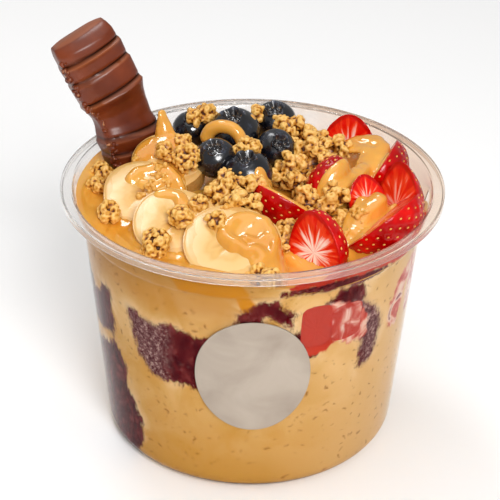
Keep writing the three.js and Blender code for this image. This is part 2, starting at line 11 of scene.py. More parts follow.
import bmesh
import bpy
import numpy as np
from mathutils import Matrix, Quaternion, Vector, noise
from mathutils.bvhtree import BVHTree


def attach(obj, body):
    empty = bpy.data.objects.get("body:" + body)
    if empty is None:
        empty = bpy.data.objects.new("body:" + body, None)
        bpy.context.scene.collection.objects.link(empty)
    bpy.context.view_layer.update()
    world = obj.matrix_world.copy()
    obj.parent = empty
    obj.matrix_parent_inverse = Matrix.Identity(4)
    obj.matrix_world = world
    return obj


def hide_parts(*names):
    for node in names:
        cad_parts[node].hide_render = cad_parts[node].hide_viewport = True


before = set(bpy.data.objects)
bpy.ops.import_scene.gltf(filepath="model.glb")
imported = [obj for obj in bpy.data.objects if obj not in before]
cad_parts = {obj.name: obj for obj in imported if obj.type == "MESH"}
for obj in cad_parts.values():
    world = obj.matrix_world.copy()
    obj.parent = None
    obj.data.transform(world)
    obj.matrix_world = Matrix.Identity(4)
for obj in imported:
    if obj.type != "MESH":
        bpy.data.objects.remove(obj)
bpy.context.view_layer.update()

# ---------------------------------------------------------------- driving dimensions

MM = 0.001
MERGED = 1e-3  # corners closer than this are one
INTO_WALL = 0.05  # how far what fills the cup reaches into its wall, so that no gap shows

# How fine the skin is of each piece that is melted into one.
SKIN_CELLS = {"strawberry": 0.36, "poured_sauce": 0.4, "granola_body": 0.5, "granola_heaps": 0.4,
              "granola_clusters": 0.32, "granola_crumbs": 0.22}

CUP = {
    "height": 84,
    "base_radius": 46,
    "base_fillet": 5.9,
    "shoulder_height": 73.2,
    "shoulder_radius": 52.1,
    "upper_height": 74.4,
    "upper_radius": 52.9,
    "neck_height": 81.5,
    "neck_radius": 54.6,
    "rim_radius": 58.5,
    "lip_drop": 2.3,
    "wall": 0.75,
    "floor": 0.9,
}
LABEL = {"half_width": 17.2, "half_height": 20, "thickness": 0.3, "height": 45.5, "azimuth": 1}
LABEL_GAP = 0.07  # between the sticker and the cup
CREAM_TOP = 72.6
SKIRT = {"rise": 10, "thickness": 1.2, "smear": 5.4}  # cream on the wall above the filling
POOL = {"level": 75.2, "rise": 4, "creep": 2, "wave": 0.35, "drawn_up": 1.5}

BANANA = {"thickness": 8.5, "edge": 0.9}
# Each slice of banana: place, radius, and the way its face looks.
BANANAS = {
    "banana_1": ((-26.5, 5.5, 87), 11.3, (0, -0.42, 0.9)),
    "banana_2": ((-32.7, -8.8, 84.5), 12.6, (0, -0.33, 0.94)),
    "banana_3": ((-22.4, -26.9, 84.5), 12.8, (0, -0.33, 0.94)),
    "banana_4": ((-5.9, -37, 84), 14.2, (0, -0.3, 0.95)),
}
# Each blueberry: place, radius, and the way its crown looks.
BLUEBERRIES = {
    "blueberry_1": ((-19.9, 30.2, 86), 6.2, (0.1, -0.3, 0.95)),
    "blueberry_2": ((-6, 24.4, 88), 8.3, (-0.1, -0.25, 0.95)),
    "blueberry_3": ((7, 39.2, 85), 7, (-0.06, -0.35, 0.93)),
    "blueberry_4": ((-11.4, 6.1, 88), 6.5, (-0.1, -0.4, 0.9)),
    "blueberry_5": ((-1.5, -0.3, 86), 7.6, (-0.15, -0.2, 0.97)),
    "blueberry_6": ((7.2, 17.6, 86), 6.2, (0.27, -0.66, 0.7)),
}
# Each strawberry: place, length, radius, depth left behind the cut, hull-to-tip direction,
# the way its cut face looks, and how pale the cut flesh is.
STRAWBERRIES = {
    "strawberry_1": ((31, 34, 78), 24, 9.8, 8, (0.02, 0.2, 0.97), (-0.15, -0.9, 0.35), 0.75),
    "strawberry_2": ((40.2, 14.5, 82.5), 21, 9, 9.5, (0.4, 0.8, 0.25), (-0.75, 0.4, 0.5), 0.1),
    "strawberry_3": ((24.2, 6, 80), 18, 7, 11, (0.3, 0.4, 0.8), (0, 0.7, -0.6), 0.2),
    "strawberry_4": ((43.5, -5.5, 80.5), 25, 10, 8.5, (0.05, 0.55, 0.7), (-0.72, -0.15, 0.68), 0.35),
    "strawberry_5": ((34.5, -9, 83), 15, 6, 6, (-0.2, 0.4, 0.9), (0.3, -0.75, 0.55), 0.8),
    "strawberry_6": ((37.3, -22, 82.5), 26, 11.5, 11, (-0.74, -0.6, -0.34), (-0.72, 0.24, 0.65), 0.3),
    "strawberry_7": ((17.6, -35.2, 81), 22, 9, 10.5, (-0.1, 0.25, 0.95), (-0.6, -0.64, 0.5), 1.0),
    "strawberry_8": ((10.7, -12, 83), 20, 9.5, 9, (0.8, -0.5, -0.2), (0.4, 0.5, 0.75), 0.3),
}
# Each piece against the wall: azimuth, height, length, radius, depth left behind the cut, and
# how it is pressed: 0.5 is plain red, 1 is marbled with cream.
WALL_STRAWBERRIES = {
    "strawberry_9": (22, 61.5, 15, 4.8, 4.5, 0.5),
    "strawberry_10": (33.5, 60.5, 13, 5.4, 5, 1),
}

# The bar bends at its waist: its lean and its turn, in degrees, and the slant of its lips are
# given below and above it.
BAR = {
    "foot": (-28.9, 19.7, 54),
    "width": 20.7,
    "side": 8.5,
    "dome": 3.2,
    "waist": 45,
    "lean": (16, 26),
    "turn": (42, 28.5),
    "slant": (-0.18, 0),
}
# Places along the bar, and its width and thickness there as parts of the full ones.
BAR_STATIONS = [
    (0, 1, 1), (10, 0.9, 0.85), (18, 1, 1), (25.6, 1.01, 1.01), (26.2, 0.97, 0.96),
    (32.1, 1, 1), (32.7, 0.96, 0.95), (37.4, 1.03, 1.04), (38, 0.97, 0.92), (42, 0.88, 0.78),
    (46, 0.86, 0.76), (49, 0.92, 0.84), (52, 1.02, 1.04), (52.7, 0.98, 0.96), (60, 1.01, 1.02),
    (60.7, 0.97, 0.95), (66.2, 1, 1.01), (66.8, 0.96, 0.94), (70.5, 0.95, 0.9),
    (72.6, 0.9, 0.7), (73.8, 0.8, 0.5),
]

# Where the coating's lips run across the bar, and how deep the groove and how high the ridge
# at each are.
BAR_LIPS = [26, 32.4, 37.7, 52.4, 60.4, 66.5]
GROOVE_DEPTH = 0.95
RIDGE_HEIGHT = 0.55

# A thick ribbon of sauce that arches over the air, with its thickness at each point.
ARC = [(-14.6, 19.6, 88.6, 4.6), (-13.4, 19.4, 91, 4.6), (-10.5, 18.5, 92.8, 4.4),
       (-6.7, 17.4, 92.6, 4.4), (-4.2, 15.9, 90.6, 4.2), (-3.6, 13.4, 88.6, 3.4)]

# Sheets of sauce that bridge from one topping to the next: half width, then the heights that
# their middle line passes through.
SHEETS = [
    (1.9, [(-28.4, 17.6, 98.6), (-27, 16.4, 95.4), (-25.8, 14.6, 92.6), (-24.4, 12, 90.2)]),
    (2.8, [(-27.8, 16.4, 94.6), (-26.2, 13.8, 91.8), (-25, 10.6, 89.4)]),
    (3.4, [(-26, 14.6, 92), (-24.6, 11, 89.4), (-24, 7, 87.6), (-23.4, 3, 86.4)]),
    (3.0, [(-28, 15.4, 91.6), (-28.6, 12.6, 89.6), (-31, 10, 88.4)]),
    (3.4, [(30.6, 25, 85), (34.4, 25.8, 86.4), (38.8, 24.4, 87), (40.6, 20.4, 86.8),
           (39.6, 15.6, 86)]),
    (4.4, [(33, 22.6, 85.4), (36.4, 20.4, 86.2), (37.6, 16, 86), (35.6, 11.4, 85)]),
    (2.8, [(24, -5.6, 84.6), (27.6, -2.6, 85.6), (31, 2.6, 86), (34, 8.4, 85.4)]),
    (3.4, [(33.4, -13.4, 85.2), (30.8, -17.4, 82.4), (29, -22, 79.6), (28, -28, 77.6),
           (27.6, -34, 76)]),
    (3.0, [(37.4, -13.6, 87), (33.4, -17.4, 84.4), (30.4, -22, 80.6)]),
]

# Sauce draped over the toppings, seen from above: half width, height, and the line it was
# poured along.
POURED = [
    (2.6, 2.3, [(4, -31), (0, -29.6), (-4, -30), (-7, -33), (-7.2, -36.4), (-5, -39)]),
    (2.4, 2.2, [(1.9, -31.6), (5.4, -34), (6.8, -38), (7.2, -42), (7.6, -46.6)]),
    (5.4, 1.3, [(-1, -33), (3.4, -36), (4.6, -41), (4.4, -45)]),
    (2.0, 2.1, [(-4.4, -38.6), (-1.6, -41), (1.6, -41.4), (3.6, -44)]),
    (1.3, 1.9, [(-1.4, -37.2), (1.8, -38), (4, -36.6)]),
    (2.4, 1.2, [(-27.2, -16.4), (-24.6, -16.6), (-21.9, -17.7), (-20.5, -21)]),
    (2.1, 1.7, [(-36.7, -4.4), (-34.6, -2), (-31, -1), (-27, -1), (-23.2, -3.9), (-21.2, -7)]),
    (3.6, 0.9, [(-28.4, 0.6), (-24.6, -1.6), (-22.4, -5)]),
    (1.5, 1.3, [(-33.6, -6), (-30, -6.8), (-26.6, -5.4)]),
    (3.8, 1.5, [(-25.6, 14.8), (-28, 10.8), (-32, 10.1), (-35.7, 8.3), (-37.4, 5.6)]),
    (3.4, 1.2, [(-24, 12), (-22.6, 8), (-22.4, 4)]),
    (1.5, 0.7, [(0.2, 24.6), (1.4, 26.4)]),
    (3.6, 1.4, [(36.4, 22), (38, 18), (38.6, 13), (35, 9)]),
    (2.7, 2.0, [(21.4, -4.6), (25.4, -1.8), (29, 1.6), (31.8, 5.6), (34.4, 9.6)]),
    (2.6, 1.3, [(27, -5), (30.4, -1.4), (33.6, 3)]),
    (2.4, 2.0, [(41.8, -8.4), (39.4, -10.6), (36, -12.4), (33, -14), (30.4, -16.6), (29, -21)]),
    (3.4, 1.2, [(38.4, -12.4), (34.4, -16), (31.4, -20), (30, -25)]),
    (1.5, 1.4, [(41.8, -11.6), (38.6, -15), (35, -19.4), (32, -24)]),
    (2.9, 1.9, [(3.2, -7), (6.8, -8.6), (11, -11), (15.2, -14)]),
    (2.4, 1.2, [(7, -5), (11.6, -7), (16, -10.6)]),
]

# ---------------------------------------------------------------- small tools


def linear(code):
    """An sRGB hex colour as the linear RGBA that a shader takes."""
    channels = [int(code[i : i + 2], 16) / 255 for i in (1, 3, 5)]
    return (*[c / 12.92 if c <= 0.04045 else ((c + 0.055) / 1.055) ** 2.4 for c in channels], 1)


def lerp(a, b, part):
    return a + (b - a) * part


def smoothstep(x, low, high):
    part = np.clip((x - low) / (high - low), 0, 1)
    return part * part * (3 - 2 * part)


def outer_radius(z):
    heights = [0, CUP["shoulder_height"], CUP["upper_height"], CUP["neck_height"]]
    radii = [CUP["base_radius"], CUP["shoulder_radius"], CUP["upper_radius"], CUP["neck_radius"]]
    return np.interp(z, heights, radii)


def inner_radius(z):
    return outer_radius(z) - CUP["wall"]


def around(azimuth, radius, z):
    """A point on a circle about the cup's axis; azimuth 0 is the front, in degrees."""
    angle = math.radians(azimuth)
    return Vector((radius * math.sin(angle), -radius * math.cos(angle), z))


def pose_of(at, along, facing=(0, 1, 0)):
    """The pose whose Z axis points along one direction and whose Y axis leans to another."""
    z = Vector(along).normalized()
    x = Vector(facing).cross(z).normalized()
    y = z.cross(x)
    return Matrix.Translation(at) @ Matrix((x, y, z)).transposed().to_4x4()


def select_only(piece):
    bpy.ops.object.select_all(action="DESELECT")
    piece.select_set(True)
    bpy.context.view_layer.objects.active = piece


def linked(name, mesh):
    piece = bpy.data.objects.new(name, mesh)
    bpy.context.collection.objects.link(piece)
    select_only(piece)
    return piece


def new_piece(name, points, edges=(), faces=()):
    mesh = bpy.data.meshes.new(name)
    mesh.from_pydata(points, edges, faces)
    return linked(name, mesh)


@contextlib.contextmanager
def editing():
    """Edit mode, with everything selected."""
    bpy.ops.object.mode_set(mode="EDIT")
    bpy.ops.mesh.select_all(action="SELECT")
    yield
    bpy.ops.object.mode_set(mode="OBJECT")


def named(name):
    """The primitive that was just added, under its name."""
    piece = bpy.context.object
    piece.name = name
    piece.data.name = name
    return piece


def modify(piece, kind, **settings):
    """Adds one modifier and applies it."""
    select_only(piece)
    modifier = piece.modifiers.new(kind, kind)
    for field, value in settings.items():
        setattr(modifier, field, value)
    bpy.ops.object.modifier_apply(modifier=modifier.name)


def melt(piece, what):
    """Melts everything in a piece into one skin."""
    modify(piece, "REMESH", mode="VOXEL", voxel_size=SKIN_CELLS[what])


def corners(piece, fact="co"):
    """Where each corner is, or which way it faces."""
    vectors = np.empty(len(piece.data.vertices) * 3, dtype=np.float32)
    piece.data.vertices.foreach_get(fact, vectors)
    return vectors.reshape(-1, 3).astype(float)


def normals(piece):
    return corners(piece, "normal")


def model_of(piece):
    """Takes a primitive away, and leaves its corners and faces for copies to be made of."""
    model = corners(piece), np.array([list(f.vertices) for f in piece.data.polygons])
    bpy.data.objects.remove(piece)
    return model


def copies(name, faces, every):
    """One piece of many copies of a model, from its faces and every copy's corners."""
    rings = [faces + len(points) * i for i, points in enumerate(every)]
    return new_piece(name, np.concatenate(every).tolist(), faces=np.concatenate(rings).tolist())


def tree_of(pieces):
    """One search tree over several placed pieces, in millimetres."""
    points, faces = [], []
    for piece in pieces:
        start = len(points)
        points += [Vector(p) / MM for p in corners(piece)]
        faces += [tuple(start + v for v in face.vertices) for face in piece.data.polygons]
    return BVHTree.FromPolygons(points, faces)


def below(tree, x, y):
    """What is first met from above, or None."""
    return tree.ray_cast(Vector((x, y, 2 * CUP["height"])), Vector((0, 0, -1)))[0]


def seed_of(name):
    return sum(map(ord, name))


def three(draw, *limits):
    """Three random draws as a vector."""
    return np.array([draw(*limits) for _ in range(3)])


def from_axis(points):
    return np.hypot(points[:, 0], points[:, 1])


def round_axis(points):
    return np.arctan2(points[:, 1], points[:, 0])


def move_corners(piece, points):
    piece.data.vertices.foreach_set("co", np.asarray(points, dtype=np.float32).ravel())
    piece.data.update()


def keep(piece, name, *values):
    """Stores up to three values at each corner, for a material to read."""
    vectors = np.zeros((len(piece.data.vertices), 3), dtype=np.float32)
    for column, value in enumerate(values):
        vectors[:, column] = value
    layer = piece.data.attributes.new(name, "FLOAT_VECTOR", "POINT")
    layer.data.foreach_set("vector", vectors.ravel())


def lumps(points, size, seed=0):
    """Smooth noise at each point, about -1 to 1, with bumps of the given size."""
    shift = Vector((seed * 7.31, seed * 3.17, seed * 5.73))
    return np.array([noise.noise(Vector(p) / size + shift) for p in points])


def hollows(piece, rounds):
    """How far each corner stands out of the smoothed surface: below 0 in hollows."""
    points = corners(piece)
    links = np.empty(len(piece.data.edges) * 2, dtype=np.int32)
    piece.data.edges.foreach_get("vertices", links)
    a, b = links.reshape(-1, 2).T
    count = np.bincount(np.concatenate([a, b]), minlength=len(points))[:, None]
    soft = points.copy()
    for _ in range(rounds):
        total = np.zeros_like(soft)
        np.add.at(total, a, soft[b])
        np.add.at(total, b, soft[a])
        soft = total / np.maximum(count, 1)
    return ((points - soft) * normals(piece)).sum(axis=1)


def joined(pieces):
    """Joins pieces into the first of them."""
    select_only(pieces[0])
    for piece in pieces[1:]:
        piece.select_set(True)
    bpy.ops.object.join()
    return pieces[0]


def turned(name, profile, steps):
    """A shape of revolution about Z from (radius, height) pairs."""
    points = [(radius, 0, height) for radius, height in profile]
    piece = new_piece(name, points, [(i, i + 1) for i in range(len(points) - 1)])
    with editing():
        bpy.ops.mesh.spin(steps=steps, angle=2 * math.pi, center=(0, 0, 0), axis=(0, 0, 1))
        bpy.ops.mesh.select_all(action="SELECT")
        bpy.ops.mesh.remove_doubles(threshold=MERGED)
        bpy.ops.mesh.normals_make_consistent(inside=False)
    return piece


def finish(piece, slot, replaced=(), pose=None, smooth=60, look=None):
    """Puts a finished piece in place, in metres, with its material; hides the parts it replaces."""
    piece.data.transform(Matrix.Scale(MM, 4) @ (pose or Matrix()))
    piece.data.materials.clear()
    piece.data.materials.append(MATERIALS[look or slot])
    select_only(piece)
    bpy.ops.object.shade_smooth_by_angle(angle=math.radians(smooth))
    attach(piece, "root")
    if replaced:
        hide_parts(*replaced)
    return piece


# ---------------------------------------------------------------- materials


def add(material, kind, numbered=(), stops=(), **named):
    """Adds one shader node; its sockets take values, sRGB codes, nodes or other sockets.

    Names that start with a capital are sockets, the others are settings.
    """
    node = material.node_tree.nodes.new("ShaderNode" + kind)
    sockets = dict(numbered)
    for name, value in named.items():
        if name[0].isupper():
            sockets[name.replace("_", " ")] = value
        else:
            setattr(node, name, value)
    for i, (place, code) in enumerate(stops):
        ramp = node.color_ramp.elements
        stop = ramp[i] if i < 2 else ramp.new(place)
        stop.position = place
        stop.color = linear(code)
    for socket, value in sockets.items():
        value = value.outputs[0] if isinstance(value, bpy.types.Node) else value
        if isinstance(value, bpy.types.NodeSocket):
            material.node_tree.links.new(value, node.inputs[socket])
        else:
            node.inputs[socket].default_value = linear(value) if isinstance(value, str) else value
    return node


def new_material(name):
    """An empty material, and the place in the object that its patterns are drawn by."""
    material = bpy.data.materials.new(name)
    material.use_nodes = True
    material.node_tree.nodes.clear()
    return material, add(material, "TexCoord").outputs["Object"]


def stored(material, name):
    """The three values that a piece keeps at each corner under a name."""
    kept = add(material, "Attribute", attribute_name=name).outputs["Vector"]
    return add(material, "SeparateXYZ", Vector=kept).outputs


def painted(material, colour, *coats):
    """A colour with others laid over it in turn, each where its mask is 1."""
    for mask, over in coats:
        mixed = add(material, "Mix", {0: mask, 6: colour, 7: over}, data_type="RGBA")
        colour = mixed.outputs[2]
    return colour


OUTGROWN = 0.7  # how far a fruit's colour spreads beyond its outline, in mm


def showing(material, depth, wander, reach, soft):
    """A mask that is 1 inside an outline, whose edge wanders by a noise over a reach in mm."""
    moved = add(material, "Math", {0: wander, 1: reach, 2: depth}, operation="MULTIPLY_ADD")
    middle = reach / 2 - OUTGROWN
    return add(material, "MapRange", Value=moved, From_Min=middle - soft, From_Max=middle + soft)


def seeping(weight, *reach):
    """Light that seeps into soft food: how much, and how far its red, green and blue go in mm."""
    return {"Subsurface_Weight": weight, "Subsurface_Radius": [r * MM for r in reach],
            "Subsurface_Scale": 1.0}


def surface(material, colour, bump=None, bump_size=0, **sockets):
    """Ends a material in one Principled shader; bump_size is the relief's depth in mm."""
    if bump:
        sockets["Normal"] = add(material, "Bump", Height=bump, Strength=1, Distance=bump_size * MM)
    shader = add(material, "BsdfPrincipled", Base_Color=colour, **sockets)
    add(material, "OutputMaterial", Surface=shader)
    return material


def clear_wall():
    # Thin-walled PET with wet cream against it: clear, with hardly any gloss of its own left
    # and slight waves from the mould.
    material, place = new_material("clear_pet_wall")
    waves = add(material, "TexNoise", Vector=place, Scale=90, Detail=1)
    return surface(material, "#FCF8F3", waves, 0.05, Transmission_Weight=1.0, Roughness=0.03,
                   IOR=1.13)


def milky_rim():
    # The same plastic, stretched less and so thicker and a little milky. Thin cream is smeared
    # over it in clouds, more of it to the right.
    material, place = new_material("milky_pet_rim")
    x, _, _ = add(material, "SeparateXYZ", Vector=place).outputs
    clouds = add(material, "TexNoise", Vector=place, Scale=60, Detail=4)
    smears = add(material, "Math", {0: x, 1: 1 / (160 * MM), 2: clouds}, operation="MULTIPLY_ADD")
    tint = add(material, "ValToRGB", Fac=smears,
               stops=[(0.3, "#FFFDFB"), (0.55, "#FDF6F0"), (0.8, "#FAE6D4")])
    waves = add(material, "TexNoise", Vector=place, Scale=90, Detail=1)
    return surface(material, tint, waves, 0.012, Transmission_Weight=0.9, Roughness=0.04,
                   IOR=1.42)


def label_paper():
    # Uncoated paper with a soft cloudy grey-beige print.
    material, place = new_material("printed_paper")
    clouds = add(material, "TexNoise", Vector=place, Scale=70, Detail=3, Distortion=0.6)
    tone = add(material, "ValToRGB", Fac=clouds, stops=[(0.3, "#9E8F80"), (0.7, "#B5A798")])
    fibres = add(material, "TexNoise", Vector=place, Scale=1500, Detail=2)
    return surface(material, tone, fibres, 0.03, Roughness=0.6)


def filling():
    # Nut cream blended with acai, pressed wet against the wall: dense and pale gold, with fine
    # brown nut specks, ragged purple swirls with frosty films, and a smear of red fruit.
    material, place = new_material("nut_cream_and_acai")
    acai, red_fruit, film = stored(material, "swirl")
    marbled, amber, _ = stored(material, "vein")
    x, _, z = add(material, "SeparateXYZ", Vector=place).outputs
    clouds = add(material, "TexNoise", Vector=place, Scale=60, Detail=5, Distortion=0.8)
    drawn = add(material, "Mapping", Vector=place, Scale=(1, 1, 0.55))
    ragged = add(material, "TexNoise", Vector=drawn, Scale=460, Detail=5, Roughness=0.72)
    fine = add(material, "TexNoise", Vector=place, Scale=900, Detail=4, Roughness=0.7)
    veined = add(material, "TexNoise", Vector=place, Scale=130, Detail=4, Distortion=1.4)

    # Painted shade darkens the cream low down and high up on the left, and painted light
    # pales it to the right.
    low = add(material, "MapRange", Value=z, From_Min=55 * MM, From_Max=4 * MM)
    painted_light_right = add(material, "MapRange", Value=x, From_Min=5 * MM, From_Max=46 * MM)
    high = add(material, "MapRange", Value=z, From_Min=56 * MM, From_Max=68 * MM, To_Max=0.75)
    left = add(material, "MapRange", Value=x, From_Min=12 * MM, From_Max=-4 * MM)
    painted_shade_high_left = add(material, "Math", {0: high, 1: left}, operation="MULTIPLY")

    # Specks of nut, each in a cell of its own, of every size up to about two millimetres.
    swerve = add(material, "TexNoise", Vector=place, Scale=420, Detail=1).outputs["Color"]
    wandered = add(material, "VectorMath", {0: swerve, 1: (4 * MM, 4 * MM, 4 * MM), 2: place},
                   operation="MULTIPLY_ADD")
    wide = add(material, "Mapping", Vector=wandered, Scale=(1, 1, 1.4))
    specks = add(material, "TexVoronoi", Vector=wide, Scale=360)
    chance, _, _ = add(material, "SeparateXYZ", Vector=specks.outputs["Color"]).outputs
    size = add(material, "MapRange", Value=chance, From_Min=0.1, To_Max=0.36)
    near = add(material, "Math", {0: size, 1: specks}, operation="SUBTRACT")
    dark = add(material, "MapRange", Value=near, From_Min=-0.06, From_Max=0.22, To_Max=0.75)

    # Round the acai are a pale halo, in patches, and where it is filmed over a soft smear.
    beside = add(material, "MapRange", Value=acai, From_Min=-5, From_Max=-0.3, To_Max=0.55)
    patchy = add(material, "MapRange", Value=clouds, From_Min=0.46, From_Max=0.6)
    halo = add(material, "Math", {0: beside, 1: patchy}, operation="MULTIPLY")
    smear = add(material, "MapRange", Value=acai, From_Min=-2.6, From_Max=1.2)
    filmed = add(material, "MapRange", Value=film, From_Min=-3, From_Max=3)
    soft = add(material, "Math", {0: smear, 1: filmed}, operation="MULTIPLY")
    pale = add(material, "MapRange", Value=fine, From_Min=0.6, From_Max=0.72, To_Max=0.5)

    cream = add(material, "ValToRGB", Fac=clouds, stops=[(0.38, "#DAA757"), (0.62, "#EFC88C")])
    purple = add(material, "ValToRGB", Fac=ragged,
                 stops=[(0.36, "#380008"), (0.52, "#560A12"), (0.7, "#8A3836")])
    frost = add(material, "ValToRGB", Fac=fine,
                stops=[(0.35, "#4A1C22"), (0.52, "#7A4E50"), (0.68, "#C4A69C")])
    red = add(material, "ValToRGB", Fac=clouds, stops=[(0.3, "#C0301C"), (0.7, "#D24A38")])
    marble = add(material, "ValToRGB", Fac=veined,
                 stops=[(0.36, "#B83228"), (0.46, "#D26A5C"), (0.54, "#E8B8A4"), (0.62, "#F0D4C0"),
                        (0.7, "#9A5058")])
    colour = painted(
        material, cream,
        # The first three: painted shade low down and high on the left, painted light to the right.
        (low, "#CB9644"),
        (painted_shade_high_left, "#C2883A"),
        (painted_light_right, "#E4BC84"),
        (dark, "#9A5E24"),
        (halo, "#F2DCB2"),
        # The sauce behind the wall, partly darkened as painted shade.
        (showing(material, amber, ragged, 1.2, 0.5), "#D08A24"),
        (soft, "#8C5F58"),
        (showing(material, acai, ragged, 8, 0.7),
         painted(material, purple, (pale, "#C08A80"), (filmed, frost))),
        (showing(material, marbled, ragged, 7, 0.6), marble),
        (showing(material, red_fruit, ragged, 3, 0.3), red),
    )
    return surface(material, colour, ragged, 0.05, Roughness=0.5, Specular_IOR_Level=0.0)


def nut_butter_sauce():
    # Smooth runny nut butter: golden, slightly translucent and wet.
    material, place = new_material("nut_butter_sauce")
    clouds = add(material, "TexNoise", Vector=place, Scale=60, Detail=2)
    tone = add(material, "ValToRGB", Fac=clouds, stops=[(0.3, "#DA912A"), (0.7, "#E8AC4A")])
    return surface(material, tone, clouds, 0.1, Roughness=0.16, Coat_Weight=0.8,
                   Coat_Roughness=0.04, **seeping(0.25, 2, 1, 0.4))


def banana_flesh():
    # Fresh-cut banana: smooth starchy flesh, pale yellow, with a browner, streaked three-lobed
    # core and a browner peeled side.
    material, place = new_material("cut_banana")
    outward, is_face, _ = stored(material, "slice")
    grain = add(material, "TexNoise", Vector=place, Scale=700, Detail=3)
    clouds = add(material, "TexNoise", Vector=place, Scale=240, Detail=2)
    ring = add(material, "Math", {0: clouds, 1: 0.22, 2: outward}, operation="MULTIPLY_ADD")
    face = add(material, "ValToRGB", Fac=ring,
               stops=[(0.16, "#A8702C"), (0.3, "#D09C4C"), (0.5, "#E2B468"), (0.62, "#DCAE60"),
                      (0.76, "#E6BC76"), (1, "#E8C080"), (1, "#DEB068")])
    side = add(material, "ValToRGB", Fac=grain, stops=[(0.3, "#C99246"), (0.7, "#DCAC62")])
    return surface(material, painted(material, side, (is_face, face)), grain, 0.03,
                   Roughness=0.3, Coat_Weight=0.2, Coat_Roughness=0.12,
                   **seeping(0.2, 2, 1.4, 0.7))


def blueberry_skin():
    # Waxy blueberry skin: near-black blue, glossy where the grey bloom is rubbed off, with a
    # dry brown crater.
    material, place = new_material("blueberry_skin")
    crater, sepals, _ = stored(material, "crown")
    patches = add(material, "TexNoise", Vector=place, Scale=210, Detail=5, Roughness=0.65)
    bloom = add(material, "ValToRGB", Fac=patches,
                stops=[(0.4, "#07070C"), (0.56, "#11131C"), (0.72, "#3A4050")])
    grit = add(material, "TexNoise", Vector=place, Scale=900, Detail=3)
    dry = add(material, "ValToRGB", Fac=grit,
              stops=[(0.45, "#0E0A0A"), (0.58, "#2E221C"), (0.7, "#8A6A44")])
    # The raised ring of sepals is painted lighter: its grey bloom, with a painted highlight.
    painted_highlight = add(material, "MapRange", Value=sepals, From_Min=0.45, From_Max=0.95, To_Max=0.7)
    colour = painted(material, bloom, (painted_highlight, "#737A8C"), (crater, dry))
    rough = add(material, "MapRange", Value=patches, From_Min=0.35, From_Max=0.7, To_Min=0.08,
                To_Max=0.34)
    return surface(material, colour, patches, 0.03, Roughness=rough, Specular_IOR_Level=0.9)


def strawberry_flesh():
    # Ripe strawberry: glossy deep red skin, and wet cut flesh whose fibres run out and up from
    # a paler core to the red rim. How pale the core is, is kept with each berry.
    material, place = new_material("ripe_strawberry")
    along_fibres = add(material, "Attribute", attribute_name="flesh").outputs["Vector"]
    _, _, outward = add(material, "SeparateXYZ", Vector=along_fibres).outputs
    is_cut, paleness, pressed = stored(material, "cut")
    _, _, z = add(material, "SeparateXYZ", Vector=place).outputs
    clouds = add(material, "TexNoise", Vector=place, Scale=160, Detail=2)
    skin = add(material, "ValToRGB", Fac=clouds,
               stops=[(0.3, "#980101"), (0.55, "#C20304"), (0.8, "#E6140A")])
    fibres = add(material, "TexNoise", Vector=along_fibres, Scale=1.0, Detail=3)
    strands = add(material, "MapRange", Value=fibres, From_Min=0.36, From_Max=0.64, To_Min=0.4,
                  To_Max=-0.4)
    ring = add(material, "Math", {0: outward, 1: strands}, operation="ADD")
    inner = add(material, "MapRange", Value=ring, From_Min=0.1, From_Max=0.5)
    outer = add(material, "MapRange", Value=ring, From_Min=0.5, From_Max=0.95)
    rim = add(material, "MapRange", Value=outward, From_Min=0.9, From_Max=1.0, To_Max=0.8)

    # The pieces against the wall are pressed flat and red, or marbled with cream.
    low = add(material, "MapRange", Value=z, From_Min=62 * MM, From_Max=55 * MM, To_Max=0.12)
    veins = add(material, "TexNoise", Vector=place, Scale=150, Detail=4, Distortion=1.2)
    sunk = add(material, "Math", {0: veins, 1: low}, operation="SUBTRACT")
    marble = add(material, "ValToRGB", Fac=sunk,
                 stops=[(0.38, "#BC3424"), (0.46, "#C8584A"), (0.54, "#DCA090"),
                        (0.64, "#EDCFC0")])
    by_wall = add(material, "MapRange", Value=pressed, From_Min=0.2, From_Max=0.4)
    marbled = add(material, "MapRange", Value=pressed, From_Min=0.6, From_Max=0.9)
    flesh = painted(
        material, painted(material, "#FA5A1E", (paleness, "#FFE6D8")),
        (inner, painted(material, "#F2360E", (paleness, "#F04A24"))),
        (outer, "#DE1206"),
        (rim, "#B00403"),
        (by_wall, painted(material, "#BE3422", (marbled, marble))),
    )
    return surface(material, painted(material, skin, (is_cut, flesh)), fibres, 0.12,
                   Roughness=0.19, Specular_IOR_Level=0.3, **seeping(0.1, 2.4, 0.6, 0.4))


def strawberry_seed():
    # Dry strawberry seeds, straw yellow.
    material, place = new_material("strawberry_seed")
    tints = add(material, "TexNoise", Vector=place, Scale=400)
    tone = add(material, "ValToRGB", Fac=tints, stops=[(0.35, "#D98A2B"), (0.65, "#F2C264")])
    return surface(material, tone, Roughness=0.35)


def milk_chocolate():
    # A cooled milk-chocolate coating: satin, with crumbs and dry tan wear on its edges, painted
    # shade in the grooves at its lips, and painted highlight on its ridges and its top end.
    material, place = new_material("milk_chocolate")
    worn, sunk, painted_highlight = stored(material, "wear")
    clouds = add(material, "TexNoise", Vector=place, Scale=90, Detail=3)
    tone = add(material, "ValToRGB", Fac=clouds, stops=[(0.3, "#581F0A"), (0.7, "#7C3617")])
    flecks = add(material, "TexNoise", Vector=place, Scale=900, Detail=4)
    crumbs = add(material, "Math", {0: flecks, 1: worn}, operation="MULTIPLY")
    dry = add(material, "MapRange", Value=crumbs, From_Min=0.42, From_Max=0.6)
    # Painted shade in the grooves, painted highlight on the ridges and the top end.
    pale = add(material, "Math", {0: painted_highlight, 1: 0.5}, operation="MULTIPLY")
    colour = painted(material, tone, (dry, "#D2956A"), (sunk, "#200A02"), (pale, "#B8704A"))
    return surface(material, colour, flecks, 0.03, Roughness=0.34, Specular_IOR_Level=0.42)


